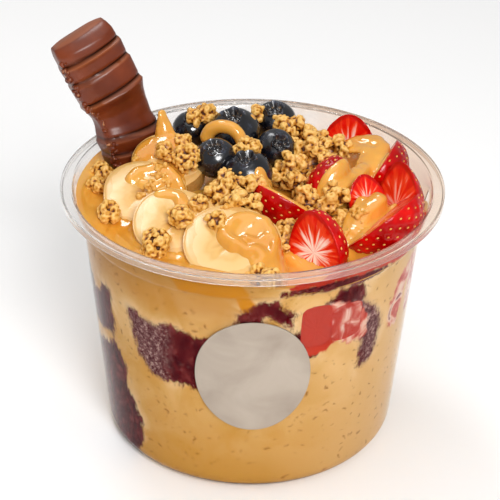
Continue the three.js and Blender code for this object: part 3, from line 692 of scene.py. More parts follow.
def toasted_oats():
    # Oat granola baked with honey: golden knobs, with painted shade that makes the hollows browner.
    material, place = new_material("honey_granola")
    relief, _, _ = stored(material, "relief")
    grain = add(material, "TexNoise", Vector=place, Scale=900, Detail=4)
    mixed = add(material, "Math", {0: grain, 1: 0.3, 2: relief}, operation="MULTIPLY_ADD")
    tone = add(material, "ValToRGB", Fac=mixed,
               stops=[(0.3, "#4E2004"), (0.46, "#96540C"), (0.62, "#CE8E2C"), (0.92, "#EEBC66")])
    return surface(material, tone, grain, 0.25, Roughness=0.4)


# Each is named for its slot, but for the last two, which are parts of the berries' and the
# cup's looks.
MATERIALS = {
    "clear_cup": clear_wall(),
    "paper": label_paper(),
    "nut_cream": filling(),
    "nut_butter": nut_butter_sauce(),
    "banana": banana_flesh(),
    "blueberry": blueberry_skin(),
    "strawberry": strawberry_flesh(),
    "chocolate": milk_chocolate(),
    "granola": toasted_oats(),
    "seed": strawberry_seed(),
    "rim": milky_rim(),
}

# ---------------------------------------------------------------- camera, floor and light

CAMERA = {"target": (-0.491, 0, 58.951), "distance": 480, "elevation": 30.51, "roll": 0.871,
          "lens": 110.14, "sensor": 36, "nearest": 0.01}
# Each lamp: azimuth and elevation in degrees, distance and size in metres, and watts.
LAMPS = {
    "key": (16, 38, 1.0, 0.4, 7.4),
    "top": (-150, 58, 1.0, 0.3, 2.4),
    "ceiling": (-60, 82, 0.9, 0.9, 1.7),
}
LAMPS_AIM = 0.08  # how high over the floor the lamps point, in metres
FLOOR_SIZE = 6  # also in metres
ROOM = {"Color": (1, 0.99, 0.98, 1), "Strength": 0.38}


def towards(azimuth, elevation):
    """A direction out from the cup; both angles in degrees."""
    rise = math.radians(elevation)
    return around(azimuth, math.cos(rise), math.sin(rise))


def make_camera():
    back = towards(0, CAMERA["elevation"])
    aim = (-back).to_track_quat("-Z", "Y") @ Quaternion((0, 0, 1), math.radians(CAMERA["roll"]))
    place = (Vector(CAMERA["target"]) + back * CAMERA["distance"]) * MM
    bpy.ops.object.camera_add(location=place, rotation=aim.to_euler())
    camera = bpy.context.object
    camera.data.lens = CAMERA["lens"]
    camera.data.sensor_width = CAMERA["sensor"]
    camera.data.clip_start = CAMERA["nearest"]
    bpy.context.scene.camera = camera


def make_lamp(name, azimuth, elevation, distance, size, power):
    away = towards(azimuth, elevation)
    place = Vector((0, 0, LAMPS_AIM)) + away * distance
    bpy.ops.object.light_add(type="AREA", location=place,
                             rotation=away.to_track_quat("Z", "Y").to_euler())
    light = bpy.context.object
    light.name = name
    light.data.shape = "DISK"
    light.data.size = size
    light.data.energy = power


def make_stage():
    bpy.ops.mesh.primitive_plane_add(size=FLOOR_SIZE, location=(0, 0, 0))
    floor = named("floor")
    material, _ = new_material("white_paper_floor")
    floor.data.materials.append(surface(material, "#FFFFFF", Roughness=0.9))
    world = bpy.data.worlds.new("soft_room")
    world.use_nodes = True
    for socket, value in ROOM.items():
        world.node_tree.nodes["Background"].inputs[socket].default_value = value
    bpy.context.scene.world = world
    bpy.context.scene.view_settings.view_transform = "Standard"
    for lamp, facts in LAMPS.items():
        make_lamp(lamp, *facts)


# ---------------------------------------------------------------- the cup and its sticker


def corner_arc(inset, floor_height, steps):
    """The rounded corner between the floor and the wall, a distance inside the outer face."""
    radius = CUP["base_fillet"] - inset * 0.8
    slope = math.atan((CUP["shoulder_radius"] - CUP["base_radius"]) / CUP["shoulder_height"])
    centre_height = floor_height + radius
    centre_radius = outer_radius(centre_height) - inset - radius / math.cos(slope)
    angles = [lerp(-math.pi / 2, -slope, i / steps) for i in range(steps + 1)]
    return [(centre_radius + radius * math.cos(a), centre_height + radius * math.sin(a))
            for a in angles]


def make_cup():
    height, wall, neck, rim = [CUP[k] for k in ("height", "wall", "neck_radius", "rim_radius")]
    shoulder, upper, neck_height = [CUP[k + "_height"] for k in ("shoulder", "upper", "neck")]
    lip = height - CUP["lip_drop"]
    profile = [
        (0, 0),
        *corner_arc(0, 0, 8),
        (outer_radius(shoulder), shoulder),
        (outer_radius(upper), upper),
        (neck, neck_height),
        (neck + 0.7, height - wall),
        (rim - wall, height - wall),
        (rim - wall, lip),
        (rim, lip),
        (rim, height),
        (neck + 0.6, height),
        (neck - 0.1, height - 0.8),
        (neck - wall, neck_height),
        (outer_radius(upper) - wall, upper),
        (outer_radius(shoulder) - wall, shoulder),
        *reversed(corner_arc(wall, CUP["floor"], 8)),
        (0, CUP["floor"]),
    ]
    cup = turned("clear_cup", profile, 160)
    modify(cup, "BEVEL", width=0.22, segments=3, limit_method="ANGLE",
           angle_limit=math.radians(20))
    finish(cup, "clear_cup", ["cup"], smooth=35)
    cup.data.materials.append(MATERIALS["rim"])
    for face in cup.data.polygons:
        height, behind = face.center.z / MM, face.center.y > 0
        face.material_index = int(height > neck_height - 0.5 or (behind and height > shoulder + 2))


def make_label():
    """The oval sticker, bare, wrapped round the tapered wall."""
    rings = np.linspace(0, 1, 13)
    profile = [(part, 0) for part in rings]
    profile += [(part, LABEL["thickness"]) for part in reversed(rings)]
    label = turned("sticker", profile, 96)
    points = corners(label)
    z = LABEL["height"] + points[:, 1] * LABEL["half_height"]
    radius = outer_radius(z) + LABEL_GAP + points[:, 2]
    angle = math.radians(LABEL["azimuth"]) + points[:, 0] * LABEL["half_width"] / radius
    move_corners(label, np.stack([radius * np.sin(angle), -radius * np.cos(angle), z], axis=1))
    finish(label, "paper", ["label"])


# ---------------------------------------------------------------- what fills the cup


# Where the wall shows more than cream: outlines of azimuth, in degrees, and height.
ACAI = [
    [(-96, 60), (-84, 66), (-74, 60), (-70, 55), (-64, 56), (-61.5, 61), (-58.5, 61.5),
     (-56.5, 58), (-57.5, 52.5), (-56.5, 49), (-57.5, 44.5), (-61, 45), (-69, 42.5), (-84, 42)],
    [(-94, 30), (-75, 34), (-61.5, 39), (-58, 41), (-54, 39), (-52, 36), (-52.5, 27), (-49, 24),
     (-45, 17.5), (-46.5, 6), (-52, 2), (-66, 2), (-80, 7), (-92, 14)],
    [(-45, 59.5), (-40, 58), (-35, 57), (-30, 58.5), (-19.5, 57.5), (-8, 57), (-6, 40),
     (-19.5, 39), (-35, 39.5), (-41, 44.5), (-43, 51)],
    [(-4, 64), (-3, 67.5), (2, 68), (3, 64)],
    [(1, 69), (4, 71.5), (8, 71), (11, 68.5), (14, 66.5), (12.4, 64), (9.4, 65.4), (7, 67.4),
     (5, 68.4), (2, 67)],
    [(14, 60.5), (18, 59), (20.5, 55), (23, 51.5), (20, 50), (15, 54.5)],
    [(25.5, 68.5), (31.5, 72.5), (38, 71.5), (40, 67), (40, 64.5), (44.5, 61.5), (49, 56),
     (49, 49.5), (45.5, 42), (41.5, 41), (41.5, 48), (42.5, 51.5), (38, 57.5), (33, 62.5),
     (28, 66)],
    # This one, high on the right under the rim, is painted shade in the acai's dark purple.
    [(10, 75.2), (22, 77.4), (36, 77), (50, 75.2), (42, 73.8), (26, 74.4)],
    [(112, 60), (128, 63), (142, 52), (138, 30), (128, 20), (116, 26), (118, 44)],
    [(190, 56), (206, 61), (228, 56), (236, 44), (220, 35), (200, 38), (188, 47)],
    [(150, 22), (168, 30), (184, 22), (176, 12), (158, 10)],
]
FILMS = [
    [(-47, 61), (-40, 59), (-33, 58), (-29, 58), (-29.5, 51), (-31, 38), (-38, 40), (-44, 47)],
    [(38, 68), (50, 62), (51, 46), (44, 38), (41, 50), (34, 62)],
    [(112, 60), (128, 64), (134, 56), (120, 50)],
    [(204, 62), (230, 57), (238, 44), (222, 46)],
]
RED_FRUIT = [
    [(19.5, 67), (21, 68.5), (24.5, 66.5), (28.5, 64.5), (28.5, 55), (26, 52.5), (19.5, 51.5),
     (18, 58)],
    [(12, 77), (20, 80), (34, 82), (50, 83), (66, 83), (80, 79), (70, 74), (56, 75.4),
     (38, 77.4), (26, 77.8)],
    [(98, 54), (106, 58), (112, 50), (104, 44)],
]
MARBLED = [
    [(27, 68), (32, 67.5), (37, 64.5), (41.5, 59.5), (42, 53.5), (36.5, 53), (28.5, 54.5)],
    [(56.5, 50), (56.5, 59), (61, 66), (70, 69), (76, 66), (66, 62), (63, 55), (61, 49)],
    [(68, 58), (72, 64), (82, 62), (80, 52), (72, 48)],
]
# The sauce behind the wall: deeper amber where it lies thick, darkened further as painted shade.
AMBER = [
    [(-25, 78.5), (-22.5, 74.2), (-5, 74.2), (-1, 75), (-4, 80), (-10, 81)],
    [(-5, 75), (-1, 68.5), (1.5, 69), (-1, 74), (-2, 77)],
]


def depth_inside(outlines, azimuth, z):
    """How far each place on the wall is inside an outline, in mm; below 0 it is outside."""
    best = np.full(len(z), -1e3)
    per_degree = math.radians(CUP["shoulder_radius"] - 2)
    for outline in outlines:
        ring = np.array(outline, dtype=float)
        middle = ring[:, 0].mean()
        away = (azimuth - middle + 180) % 360 - 180
        place = np.stack([away * per_degree, z], axis=1)
        ring[:, 0] = (ring[:, 0] - middle) * per_degree
        gap = np.full(len(z), 1e3)
        inside = np.zeros(len(z), dtype=bool)
        for start, end in zip(ring, np.roll(ring, -1, axis=0)):
            side = end - start
            part = np.clip((place - start) @ side / (side @ side), 0, 1)
            gap = np.minimum(gap, np.hypot(*(place - start - part[:, None] * side).T))
            crosses = (start[1] > z) != (end[1] > z)
            with np.errstate(divide="ignore", invalid="ignore"):
                reach = start[0] + (z - start[1]) / side[1] * side[0]
            inside ^= crosses & (place[:, 0] < reach)
        best = np.maximum(best, np.where(inside, gap, -gap))
    return best


def make_filling():
    """Cream up to the pool, with a skirt of cream that runs up behind the pool's edge."""
    wall = CUP["wall"] - 2 * INTO_WALL
    floor, rise = CUP["floor"] - INTO_WALL, SKIRT["rise"]
    side = outer_radius(CREAM_TOP) - wall
    profile = [
        (0, floor),
        *corner_arc(wall, floor, 8),
        *[(outer_radius(z) - wall, z) for z in np.linspace(7, CREAM_TOP, 84)],
        *[(side, CREAM_TOP + rise * part) for part in np.linspace(0, 1, 9)[1:]],
        (side - SKIRT["thickness"], CREAM_TOP + rise),
        (side - SKIRT["thickness"], CREAM_TOP - 1),
        (0, CREAM_TOP - 1),
    ]
    cream = turned("cream_filling", profile, 360)
    points = corners(cream)
    reach = from_axis(points)
    above = points[:, 2] > CREAM_TOP + 0.01
    azimuth = np.degrees(np.arctan2(points[:, 0], -points[:, 1]))
    smeared_up = smoothstep(azimuth, 8, 30) * smoothstep(-azimuth, -100, -80)
    edge = pool_height(points[:, 0], points[:, 1]) - 0.4 + SKIRT["smear"] * smeared_up
    raised = lerp(CREAM_TOP, edge, (points[:, 2] - CREAM_TOP) / rise)
    height = np.where(above, raised, points[:, 2])
    wanted = outer_radius(height) - (outer_radius(CREAM_TOP) - reach)
    points[:, :2] *= np.where(above, wanted / np.maximum(reach, 1), 1)[:, None]
    points[:, 2] = height
    move_corners(cream, points)
    wander = lumps(points, 5, 2) * np.where(np.abs(azimuth) > 95, 3.5, 0.9)
    depths = [depth_inside(outlines, azimuth, height) + wander
              for outlines in (ACAI, RED_FRUIT, FILMS, MARBLED, AMBER)]
    keep(cream, "swirl", *depths[:3])
    keep(cream, "vein", *depths[3:])
    finish(cream, "nut_cream", ["cream", "acai"])


def pool_height(x, y):
    left = smoothstep(-0.9 * x - 0.35 * y, -8, 34)
    creep = smoothstep(np.hypot(x, y), 46, 54)
    waves = POOL["wave"] * np.sin(x / 5 + 1) * np.cos(y / 6)
    return POOL["level"] + POOL["rise"] * left + POOL["creep"] * creep * (0.3 + 0.7 * left) + waves


def make_pool(fruit_tree):
    """The nut butter's surface, drawn up where it meets the fruit."""
    wall = CUP["wall"] - INTO_WALL
    neck_height = CUP["neck_height"]
    rim = CUP["neck_radius"] - wall
    bottom = CREAM_TOP - 0.2
    profile = [
        (0, bottom),
        *[(outer_radius(z) - wall, z)
          for z in (bottom, CUP["shoulder_height"], CUP["upper_height"])],
        *[(rim * part, neck_height) for part in np.linspace(1, 0, 70)],
    ]
    pool = turned("nut_butter_pool", profile, 180)
    points = corners(pool)
    top = points[:, 2] > neck_height - 0.01
    x, y = points[top, 0], points[top, 1]
    level = pool_height(x, y)
    shrink = (outer_radius(level) - wall) / rim
    x, y = x * shrink, y * shrink
    for i, (a, b, c) in enumerate(zip(x, y, level)):
        gap = fruit_tree.find_nearest(Vector((a, b, c)))[3]
        level[i] += POOL["drawn_up"] * math.exp(-gap / 1.3)
    points[top] = np.stack([x, y, level], axis=1)
    move_corners(pool, points)
    return finish(pool, "nut_butter", ["nut_butter"])


# ---------------------------------------------------------------- fruit


def make_banana(name, at, radius, along):
    thickness, edge = BANANA["thickness"], BANANA["edge"]
    half = thickness / 2
    rounds = [(radius - edge + edge * math.sin(a), edge * math.cos(a))
              for a in np.linspace(0, math.pi / 2, 6)]
    face = [(radius * part, half) for part in np.linspace(0, (radius - edge) / radius, 30)[:-1]]
    top = face + [(r, half - edge + z) for r, z in rounds]
    profile = [*[(r, -z) for r, z in top], (radius, 0), *reversed(top)]
    piece = turned(name, profile, 120)
    points = corners(piece)
    angle = round_axis(points)
    part = from_axis(points) / radius
    seed = seed_of(name)
    soft = 1 + 0.03 * np.cos(3 * angle) + 0.02 * lumps(points * (1, 1, 0.2), 9, seed)
    lobes = 0.72 + 0.28 * np.cos(3 * angle)
    core = np.exp(-((part / (0.42 * lobes)) ** 2))
    is_face = smoothstep(np.abs(points[:, 2]), half - edge * 0.7, half - edge * 0.1)
    creases = np.abs(np.sin(1.5 * angle)) ** 0.5
    relief = -0.5 * core * (1.2 - creases) + 0.1 * lumps(points, 5, seed) - 0.5 * part**4
    points[:, :2] *= soft[:, None]
    points[:, 2] += np.sign(points[:, 2]) * relief * is_face - half
    move_corners(piece, points)
    around_core = np.stack([4 * np.cos(angle), 4 * np.sin(angle), part], axis=1)
    streaks = lumps(around_core, 1, seed) * smoothstep(part, 0.02, 0.2)
    streaks *= smoothstep(-part, -0.9, -0.5)
    keep(piece, "slice", part / (0.8 + 0.2 * lobes) + 0.16 * streaks, is_face)
    return finish(piece, "banana", [name], pose_of(at, along))


def make_blueberry(name, at, radius, along):
    """A ball with a crater at its top and a ragged five-pointed crown of sepals round it."""
    bpy.ops.mesh.primitive_uv_sphere_add(segments=90, ring_count=80, radius=1)
    piece = named(name)
    points = corners(piece)
    seed = seed_of(name)
    angle = round_axis(points) + seed
    tilt = np.arccos(np.clip(points[:, 2], -1, 1))
    point_to = np.abs(np.cos(2.5 * angle)) ** 1.5
    uneven = 0.8 + 0.4 * lumps(points * (1, 1, 0), 0.3, seed)
    rim = 0.36 + 0.1 * point_to
    ring = np.exp(-(((tilt - rim) / 0.05) ** 2)) * (0.5 + 0.5 * point_to) * uneven
    crater = smoothstep(-tilt, -rim + 0.01, -rim + 0.07)
    floor = 0.2 - 0.1 * np.exp(-((tilt / 0.13) ** 2)) + 0.03 * lumps(points, 0.07, seed)
    reach = 1 + 0.12 * ring - 1.2 * floor * crater + 0.012 * lumps(points, 0.5, seed)
    points *= reach[:, None] * radius
    points[:, 2] *= 0.9
    move_corners(piece, points)
    keep(piece, "crown", crater * smoothstep(tilt, 0.1, 0.2), ring)
    return finish(piece, "blueberry", [name], pose_of(at, along))


def girth(part):
    """How wide a berry is along its length, from 0 at the hull to 1 at the tip."""
    return np.sin(np.pi * (0.06 + 0.94 * part) ** 0.85) ** 0.52


def chunk_girth(part):
    """How wide a blunt chunk of berry is along its length."""
    return (1 - np.abs(2 * part - 1) ** 8) ** 0.5


SEED_SPACING = 2.8
SEED_DEPTH = 0.25
GOLDEN_ANGLE = 2.39996
seed_poses = []


def seed_pits(pose, tree, length, radius, offset):
    """Where the seeds of a berry sink into its skin; each seed's pose is kept for make_seeds."""
    count = int(2 * math.pi * radius * 0.8 * length / (SEED_SPACING**2 * 0.87))
    pits = []
    for k in range(count):
        part, angle = (k + 0.5) / count, k * GOLDEN_ANGLE
        reach = radius * float(girth(np.array(part)))
        place = Vector((reach * math.cos(angle), reach * math.sin(angle) + offset,
                        (part - 0.5) * length))
        if place.y > -1:
            continue
        hit, normal, _, _ = tree.find_nearest(place)
        pits.append(hit)
        seed_poses.append(pose @ pose_of(hit - normal * SEED_DEPTH, normal, (0, 0, 1)))
    return pits


def make_strawberry(name, pose, length, radius, depth, paleness, shape=girth, pressed=0):
    """A cut berry: its skin is dimpled round every seed, and its face keeps flat and wet."""
    parts = np.linspace(0, 1, 36)
    profile = [(radius * shape(p) * (0 < i < 35), (p - 0.5) * length) for i, p in enumerate(parts)]
    piece = turned(name, profile, 64)
    points = corners(piece)
    seed = seed_of(name) + len(name)
    offset = radius - depth
    points[:, :2] *= (1 + 0.05 * lumps(points, 8, seed))[:, None]
    points[:, 1] += offset
    move_corners(piece, points)
    with editing():
        bpy.ops.mesh.bisect(plane_co=(0, 0, 0), plane_no=(0, 1, 0), use_fill=True,
                            clear_outer=True)
    melt(piece, "strawberry")
    modify(piece, "SMOOTH", factor=0.5, iterations=4)
    points, outward = corners(piece), normals(piece)

    tree = BVHTree.FromPolygons([Vector(p) for p in points],
                                [tuple(f.vertices) for f in piece.data.polygons])
    pits = seed_pits(pose, tree, length, radius, offset)
    if pits:
        pit_tree = BVHTree.FromPolygons(
            [v for p in pits for v in (p, p + Vector((1e-3, 0, 0)), p + Vector((0, 0, 1e-3)))],
            [(3 * i, 3 * i + 1, 3 * i + 2) for i in range(len(pits))])
        gaps = np.array([pit_tree.find_nearest(Vector(p))[3] for p in points])
        dimple = 0.32 * np.exp(-((gaps / 0.8) ** 2)) * (points[:, 1] < -0.4)
        points -= outward * dimple[:, None]
    flat = smoothstep(outward[:, 1], 0.7, 0.9) * smoothstep(points[:, 1], -0.9, -0.3)
    points[:, 1] -= flat * 0.12 * (1 + lumps(points, 2.4, seed))
    move_corners(piece, points)
    along = np.clip(points[:, 2] / length + 0.5, 0.02, 0.98)
    half = np.sqrt(np.maximum((radius * girth(along)) ** 2 - offset**2, 1))
    side = np.abs(points[:, 0]) / half
    ends = np.abs(points[:, 2] + 0.06 * length) / (length * 0.52)
    edge = (side**2.4 + ends**2.4) ** (1 / 2.4)
    ray = np.arctan2(points[:, 0], points[:, 2] + 0.08 * length)
    keep(piece, "flesh", 5 * np.cos(ray) + 9 * seed, 5 * np.sin(ray), edge)
    keep(piece, "cut", flat, paleness, pressed)
    return finish(piece, "strawberry", [name], pose)


def make_wall_strawberry(name, azimuth, height, length, radius, depth, marbled):
    """A berry sunk in the cream, its flat side pressed round against the clear wall."""
    pose = pose_of(around(azimuth, inner_radius(height), height), (0, 0, 1), around(azimuth, 1, 0))
    piece = make_strawberry(name, pose, length, radius, depth, 0.2, chunk_girth, marbled)
    points = corners(piece) / MM
    reach = from_axis(points)
    wanted = inner_radius(points[:, 2]) + 3 * INTO_WALL
    points[:, :2] *= np.where(reach > wanted - 1, wanted / reach, 1)[:, None]
    move_corners(piece, points * MM)


def make_seeds():
    """All the strawberries' seeds, each a small pointed drop in its dimple."""
    bpy.ops.mesh.primitive_ico_sphere_add(subdivisions=1, radius=1)
    points, faces = model_of(bpy.context.object)
    points *= (0.3, 0.5, 0.25)
    points[:, 0] *= 1 - 0.35 * points[:, 1]
    every = [np.array([pose @ Vector(p) for p in points]) for pose in seed_poses]
    finish(copies("strawberry_seeds", faces, every), "strawberry", smooth=180, look="seed")


# ---------------------------------------------------------------- the wafer bar


def leaning(angle):
    return Vector((-math.sin(angle), 0, math.cos(angle)))


def bar_spine(along):
    """Where the bar's middle line is, and its directions across and to the flat back."""
    waist = BAR["waist"]
    bend = float(smoothstep(along, waist - 6, waist + 6))
    lean, turn = math.radians(lerp(*BAR["lean"], bend)), math.radians(lerp(*BAR["turn"], bend))
    up = leaning(lean)
    back = Vector((-math.sin(turn), math.cos(turn), 0))
    back = (back - up * back.dot(up)).normalized()
    low, high = [leaning(math.radians(angle)) for angle in BAR["lean"]]
    middle = low * min(along, waist) + high * max(along - waist, 0)
    return middle, back.cross(up), back


def bar_outline(sides):
    """Points round the bar's section: a domed face to -Y, a flat back, and soft corners."""
    half, front, dome = BAR["width"] / 2, BAR["side"] / 2, BAR["dome"]
    outline = []
    for angle in np.linspace(0, 2 * math.pi, sides, endpoint=False):
        c, s = math.cos(angle), math.sin(angle)
        power = 0.32 if s > 0 else 0.26
        x = half * math.copysign(abs(c) ** power, c)
        y = front * math.copysign(abs(s) ** power, s)
        if s < 0:
            y -= dome * max(0, 1 - (x / half) ** 2) ** 0.8
        outline.append((x, y))
    return outline


def bar_blank(sides, steps):
    """A cylinder of radius 1 and height 1, cut into steps along it and into rings at its ends."""
    bpy.ops.mesh.primitive_cylinder_add(vertices=sides, radius=1, depth=1, end_fill_type="NGON")
    bar = named("wafer_bar")
    bpy.ops.object.mode_set(mode="EDIT")
    shape = bmesh.from_edit_mesh(bar.data)
    bpy.ops.mesh.select_all(action="DESELECT")
    for edge in shape.edges:
        edge.select = abs(edge.verts[0].co.z - edge.verts[1].co.z) > 0.5
    bmesh.update_edit_mesh(bar.data)
    bpy.ops.mesh.subdivide(number_cuts=steps - 1)
    bpy.ops.mesh.select_all(action="DESELECT")
    shape = bmesh.from_edit_mesh(bar.data)
    for face in shape.faces:
        face.select = len(face.verts) > 4
    bmesh.update_edit_mesh(bar.data)
    for part in (0.03, 0.05, 0.08, 0.1, 0.12):
        bpy.ops.mesh.inset(thickness=part)
    bpy.ops.object.mode_set(mode="OBJECT")
    return bar


def make_bar():
    """The bent bar, with the coating's lips across its front."""
    bar = bar_blank(120, 420)
    points = corners(bar)
    reach = from_axis(points)
    angle = round_axis(points) % (2 * math.pi)
    outline = bar_outline(720)
    outline = np.array([*outline, outline[0]])
    turns = np.linspace(0, 2 * math.pi, 721)
    section_x = np.interp(angle, turns, outline[:, 0]) * reach
    section_y = np.interp(angle, turns, outline[:, 1]) * reach
    length = BAR_STATIONS[-1][0]
    station = (points[:, 2] + 0.5) * length
    station -= 0.9 * smoothstep(station, length - 5, length) * reach**4
    stations, wide, thick = np.array(BAR_STATIONS, dtype=float).T
    fine = np.linspace(0, length, 740)
    soft = np.ones(5) / 5
    wide_fine, thick_fine = [
        np.convolve(np.pad(np.interp(fine, stations, size), 2, "edge"), soft, "valid")
        for size in (wide, thick)]
    wander = lumps(np.stack([section_x, section_y, station], axis=1), 7, 3)
    moved = station + 0.5 * wander
    groove = sum(np.exp(-(((moved - lip - 0.8) / 0.36) ** 2)) for lip in BAR_LIPS)
    ridge = sum(np.exp(-(((moved - lip + 0.05) / 0.32) ** 2)) for lip in BAR_LIPS)
    x = section_x * np.interp(moved, fine, wide_fine)
    back = BAR["side"] / 2
    thickness = np.interp(moved, fine, thick_fine)
    y = back + (section_y - back) * thickness
    front = smoothstep(-section_y, -3, 1)
    y += (GROOVE_DEPTH * groove - RIDGE_HEIGHT * ridge) * front
    slant = np.array([lerp(*BAR["slant"], float(smoothstep(s, 36, 54))) for s in station])
    placed = np.empty_like(points)
    for i, (s, a, b, k) in enumerate(zip(station, x, y, slant)):
        middle, across, backward = bar_spine(s + k * a)
        placed[i] = middle + across * a + backward * b
    move_corners(bar, placed + np.array(BAR["foot"]))
    edges = smoothstep(-section_x, 7.5, 10) * smoothstep(-np.abs(section_y + 2), -4.5, -0.5)
    wear = edges * (0.4 + 0.6 * np.clip(groove + ridge, 0, 1))
    # Painted highlight on the ridges of the lips and on the bar's top end.
    end = smoothstep(-reach, -1, -0.9) * (points[:, 2] > 0.49)
    painted_highlight = np.maximum(ridge * front, 0.8 * end)
    # Kept under wear: the tan wear, the grooves' painted shade, and the painted highlight.
    keep(bar, "wear", wear, np.clip(groove * 1.2, 0, 1) * front, painted_highlight)
    return finish(bar, "chocolate", ["chocolate_bar"])


def make_bar_crumbs(bar):
    """Broken flakes of coating along the bar's left front edge, thickest at its lips."""
    draw = random.Random(4)
    tree = tree_of([bar])
    ball, faces = knob_ball()
    every = []
    for _ in range(110):
        along = draw.choice(BAR_LIPS) + draw.gauss(0.3, 1.0)
        if draw.random() < 0.3:
            along = draw.uniform(24, 72)
        middle, across, back = bar_spine(along)
        corner = Vector(BAR["foot"]) + middle - across * BAR["width"] / 2 - back * BAR["side"] / 2
        away = Vector(three(draw.gauss, 0, 0.9))
        spot = tree.find_nearest(corner + away)[0]
        size = 0.25 + 0.75 * draw.random() ** 2
        stretch = three(draw.uniform, 0.5, 1.5)
        every.append(ball * size * stretch + np.array(spot))
    crumbs = copies("bar_crumbs", faces, every)
    keep(crumbs, "wear", 0.75 + 0.25 * lumps(corners(crumbs), 2, 5))
    finish(crumbs, "chocolate", smooth=40)


# ---------------------------------------------------------------- granola


def copy_of_node(name):
    """A merged copy, in millimetres, of a solid's mesh."""
    piece = linked(name + "_body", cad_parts[name].data.copy())
    piece.data.transform(Matrix.Scale(1 / MM, 4))
    with editing():
        bpy.ops.mesh.remove_doubles(threshold=MERGED)
    return piece


def knob_ball():
    bpy.ops.mesh.primitive_ico_sphere_add(subdivisions=2, radius=1)
    return model_of(bpy.context.object)


def surface_places(draw, points, triangles, spacing):
    """Random places on a surface, one for each area of the spacing squared."""
    places = []
    for a, b, c in triangles:
        p, q, r = points[a], points[b], points[c]
        wanted = np.linalg.norm(np.cross(q - p, r - p)) / 2 / spacing**2
        for _ in range(int(wanted) + (draw.random() < wanted % 1)):
            u, v = draw.random(), draw.random()
            if u + v > 1:
                u, v = 1 - u, 1 - v
            places.append(p + u * (q - p) + v * (r - p))
    return places


def bunch(draw, centre, reach):
    """The middles and sizes of the knobs in one small bunch."""
    knobs = []
    for _ in range(int(5.2 * reach)):
        away = three(draw.gauss, 0, 1)
        away *= reach * draw.uniform(0.6, 1) / np.linalg.norm(away)
        knobs.append((centre + away, draw.uniform(0.85, 1.3) + 0.6 * draw.random() ** 3))
    return knobs


# How far apart the knobs and their bunches lie on a heap or a small cluster, and how far its
# body is drawn in under them.
HEAP = {"spacing": 2.0, "bunches": 4.4, "drawn_in": 1.7}
CLUSTER = {"spacing": 1.75, "drawn_in": 0.9}


def make_granola(name, names, seed):
    """Baked knobs: one layer over each small cluster, and many bunches over each heap."""
    draw = random.Random(seed)
    ball, faces = knob_ball()
    pieces = []
    for node in names:
        body = copy_of_node(node)
        points = corners(body)
        body.data.calc_loop_triangles()
        triangles = [tuple(t.vertices) for t in body.data.loop_triangles]
        heaped = "heap" in node
        if heaped:
            middles = []
            for place in surface_places(draw, points, triangles, HEAP["spacing"]):
                if all(np.linalg.norm(place - other) > HEAP["bunches"] for other in middles):
                    middles.append(place)
            knobs = [k for place in middles for k in bunch(draw, place, draw.uniform(1.6, 2.8))]
        else:
            knobs = [(place, draw.uniform(0.75, 1.15) + 0.7 * draw.random() ** 2)
                     for place in surface_places(draw, points, triangles, CLUSTER["spacing"])]
        every = []
        for centre, size in knobs:
            stretch = three(draw.uniform, 0.6, 1.3)
            every.append(ball * size * stretch + centre)
        grown = copies(node + "_knobs", faces, every)
        melt(body, "granola_body")
        inward = (HEAP if heaped else CLUSTER)["drawn_in"]
        move_corners(body, corners(body) - normals(body) * inward)
        pieces += [body, grown]
    granola = joined(pieces)
    granola.name = name
    melt(granola, name)
    points = corners(granola)
    points += normals(granola) * (0.45 * lumps(points, 0.9, seed))[:, None]
    move_corners(granola, points)
    # How far each corner stands out, for the painted shade in the hollows.
    keep(granola, "relief", np.clip(0.46 + hollows(granola, 9) * 1.4, 0, 1))
    finish(granola, "granola", names)


# Where loose crumbs of granola lie, seen from above, and how far nine of them are strewn.
CRUMBS = [(-31.5, -8, 1.6), (-33.5, -10.5, 1.2), (-29.8, -2.6, 1.8), (-28, -1.4, 1.4),
          (-26.5, -5.2, 1.6), (31.8, -19.5, 1.8), (29.8, -16.8, 1.4), (27, -23.4, 1.6),
          (-4, -7.6, 1.4), (-36.5, 5, 1.2), (-8, -24.4, 1.8), (12, 26, 2.4), (20, 38, 2.4),
          (-8, 40, 3), (4, 46, 2), (24, -14, 1.6), (0, -50, 1.4), (4.5, -49.8, 1.6),
          (9, -49, 1.6), (13.5, -48, 1.4)]
CRUMBS_WITHIN = 51.3  # how far out they may lie, so that none reaches into the wall


def make_crumbs(tree):
    """Loose crumbs of granola, strewn where bunches have broken up."""
    draw = random.Random(21)
    ball, faces = knob_ball()
    every = []
    for x, y, strewn in CRUMBS:
        for _ in range(9):
            hit = below(tree, x + draw.gauss(0, strewn * 0.6), y + draw.gauss(0, strewn * 0.6))
            if hit is None or hit.z < POOL["level"] - 1 or hit.xy.length > CRUMBS_WITHIN:
                continue
            size = draw.uniform(0.35, 0.85)
            stretch = three(draw.uniform, 0.75, 1.3)
            every.append(ball * size * stretch + np.array(hit) + (0, 0, size * 0.4))
    crumbs = copies("granola_crumbs", faces, every)
    melt(crumbs, "granola_crumbs")
    # How far each corner stands out, for the painted shade in the hollows.
    keep(crumbs, "relief", np.clip(0.5 + hollows(crumbs, 6) * 1.2, 0, 1))
    finish(crumbs, "granola")


# ---------------------------------------------------------------- sauce


def poured_curve(points, closeness=0.4):
    """A smooth line through the points, sampled closely, with every value that they carry."""
    points = np.array(points, dtype=float)
    padded = np.concatenate([2 * points[:1] - points[1:2], points, 2 * points[-1:] - points[-2:-1]])
    line = []
    for p0, p1, p2, p3 in zip(padded, padded[1:], padded[2:], padded[3:]):
        steps = max(2, int(np.linalg.norm(p2[:2] - p1[:2]) / closeness))
        for t in np.arange(steps) / steps:
            line.append(0.5 * (2 * p1 + (p2 - p0) * t + (2 * p0 - 5 * p1 + 4 * p2 - p3) * t**2
                               + (3 * p1 - p0 - 3 * p2 + p3) * t**3))
    return np.array(line + [points[-1]])


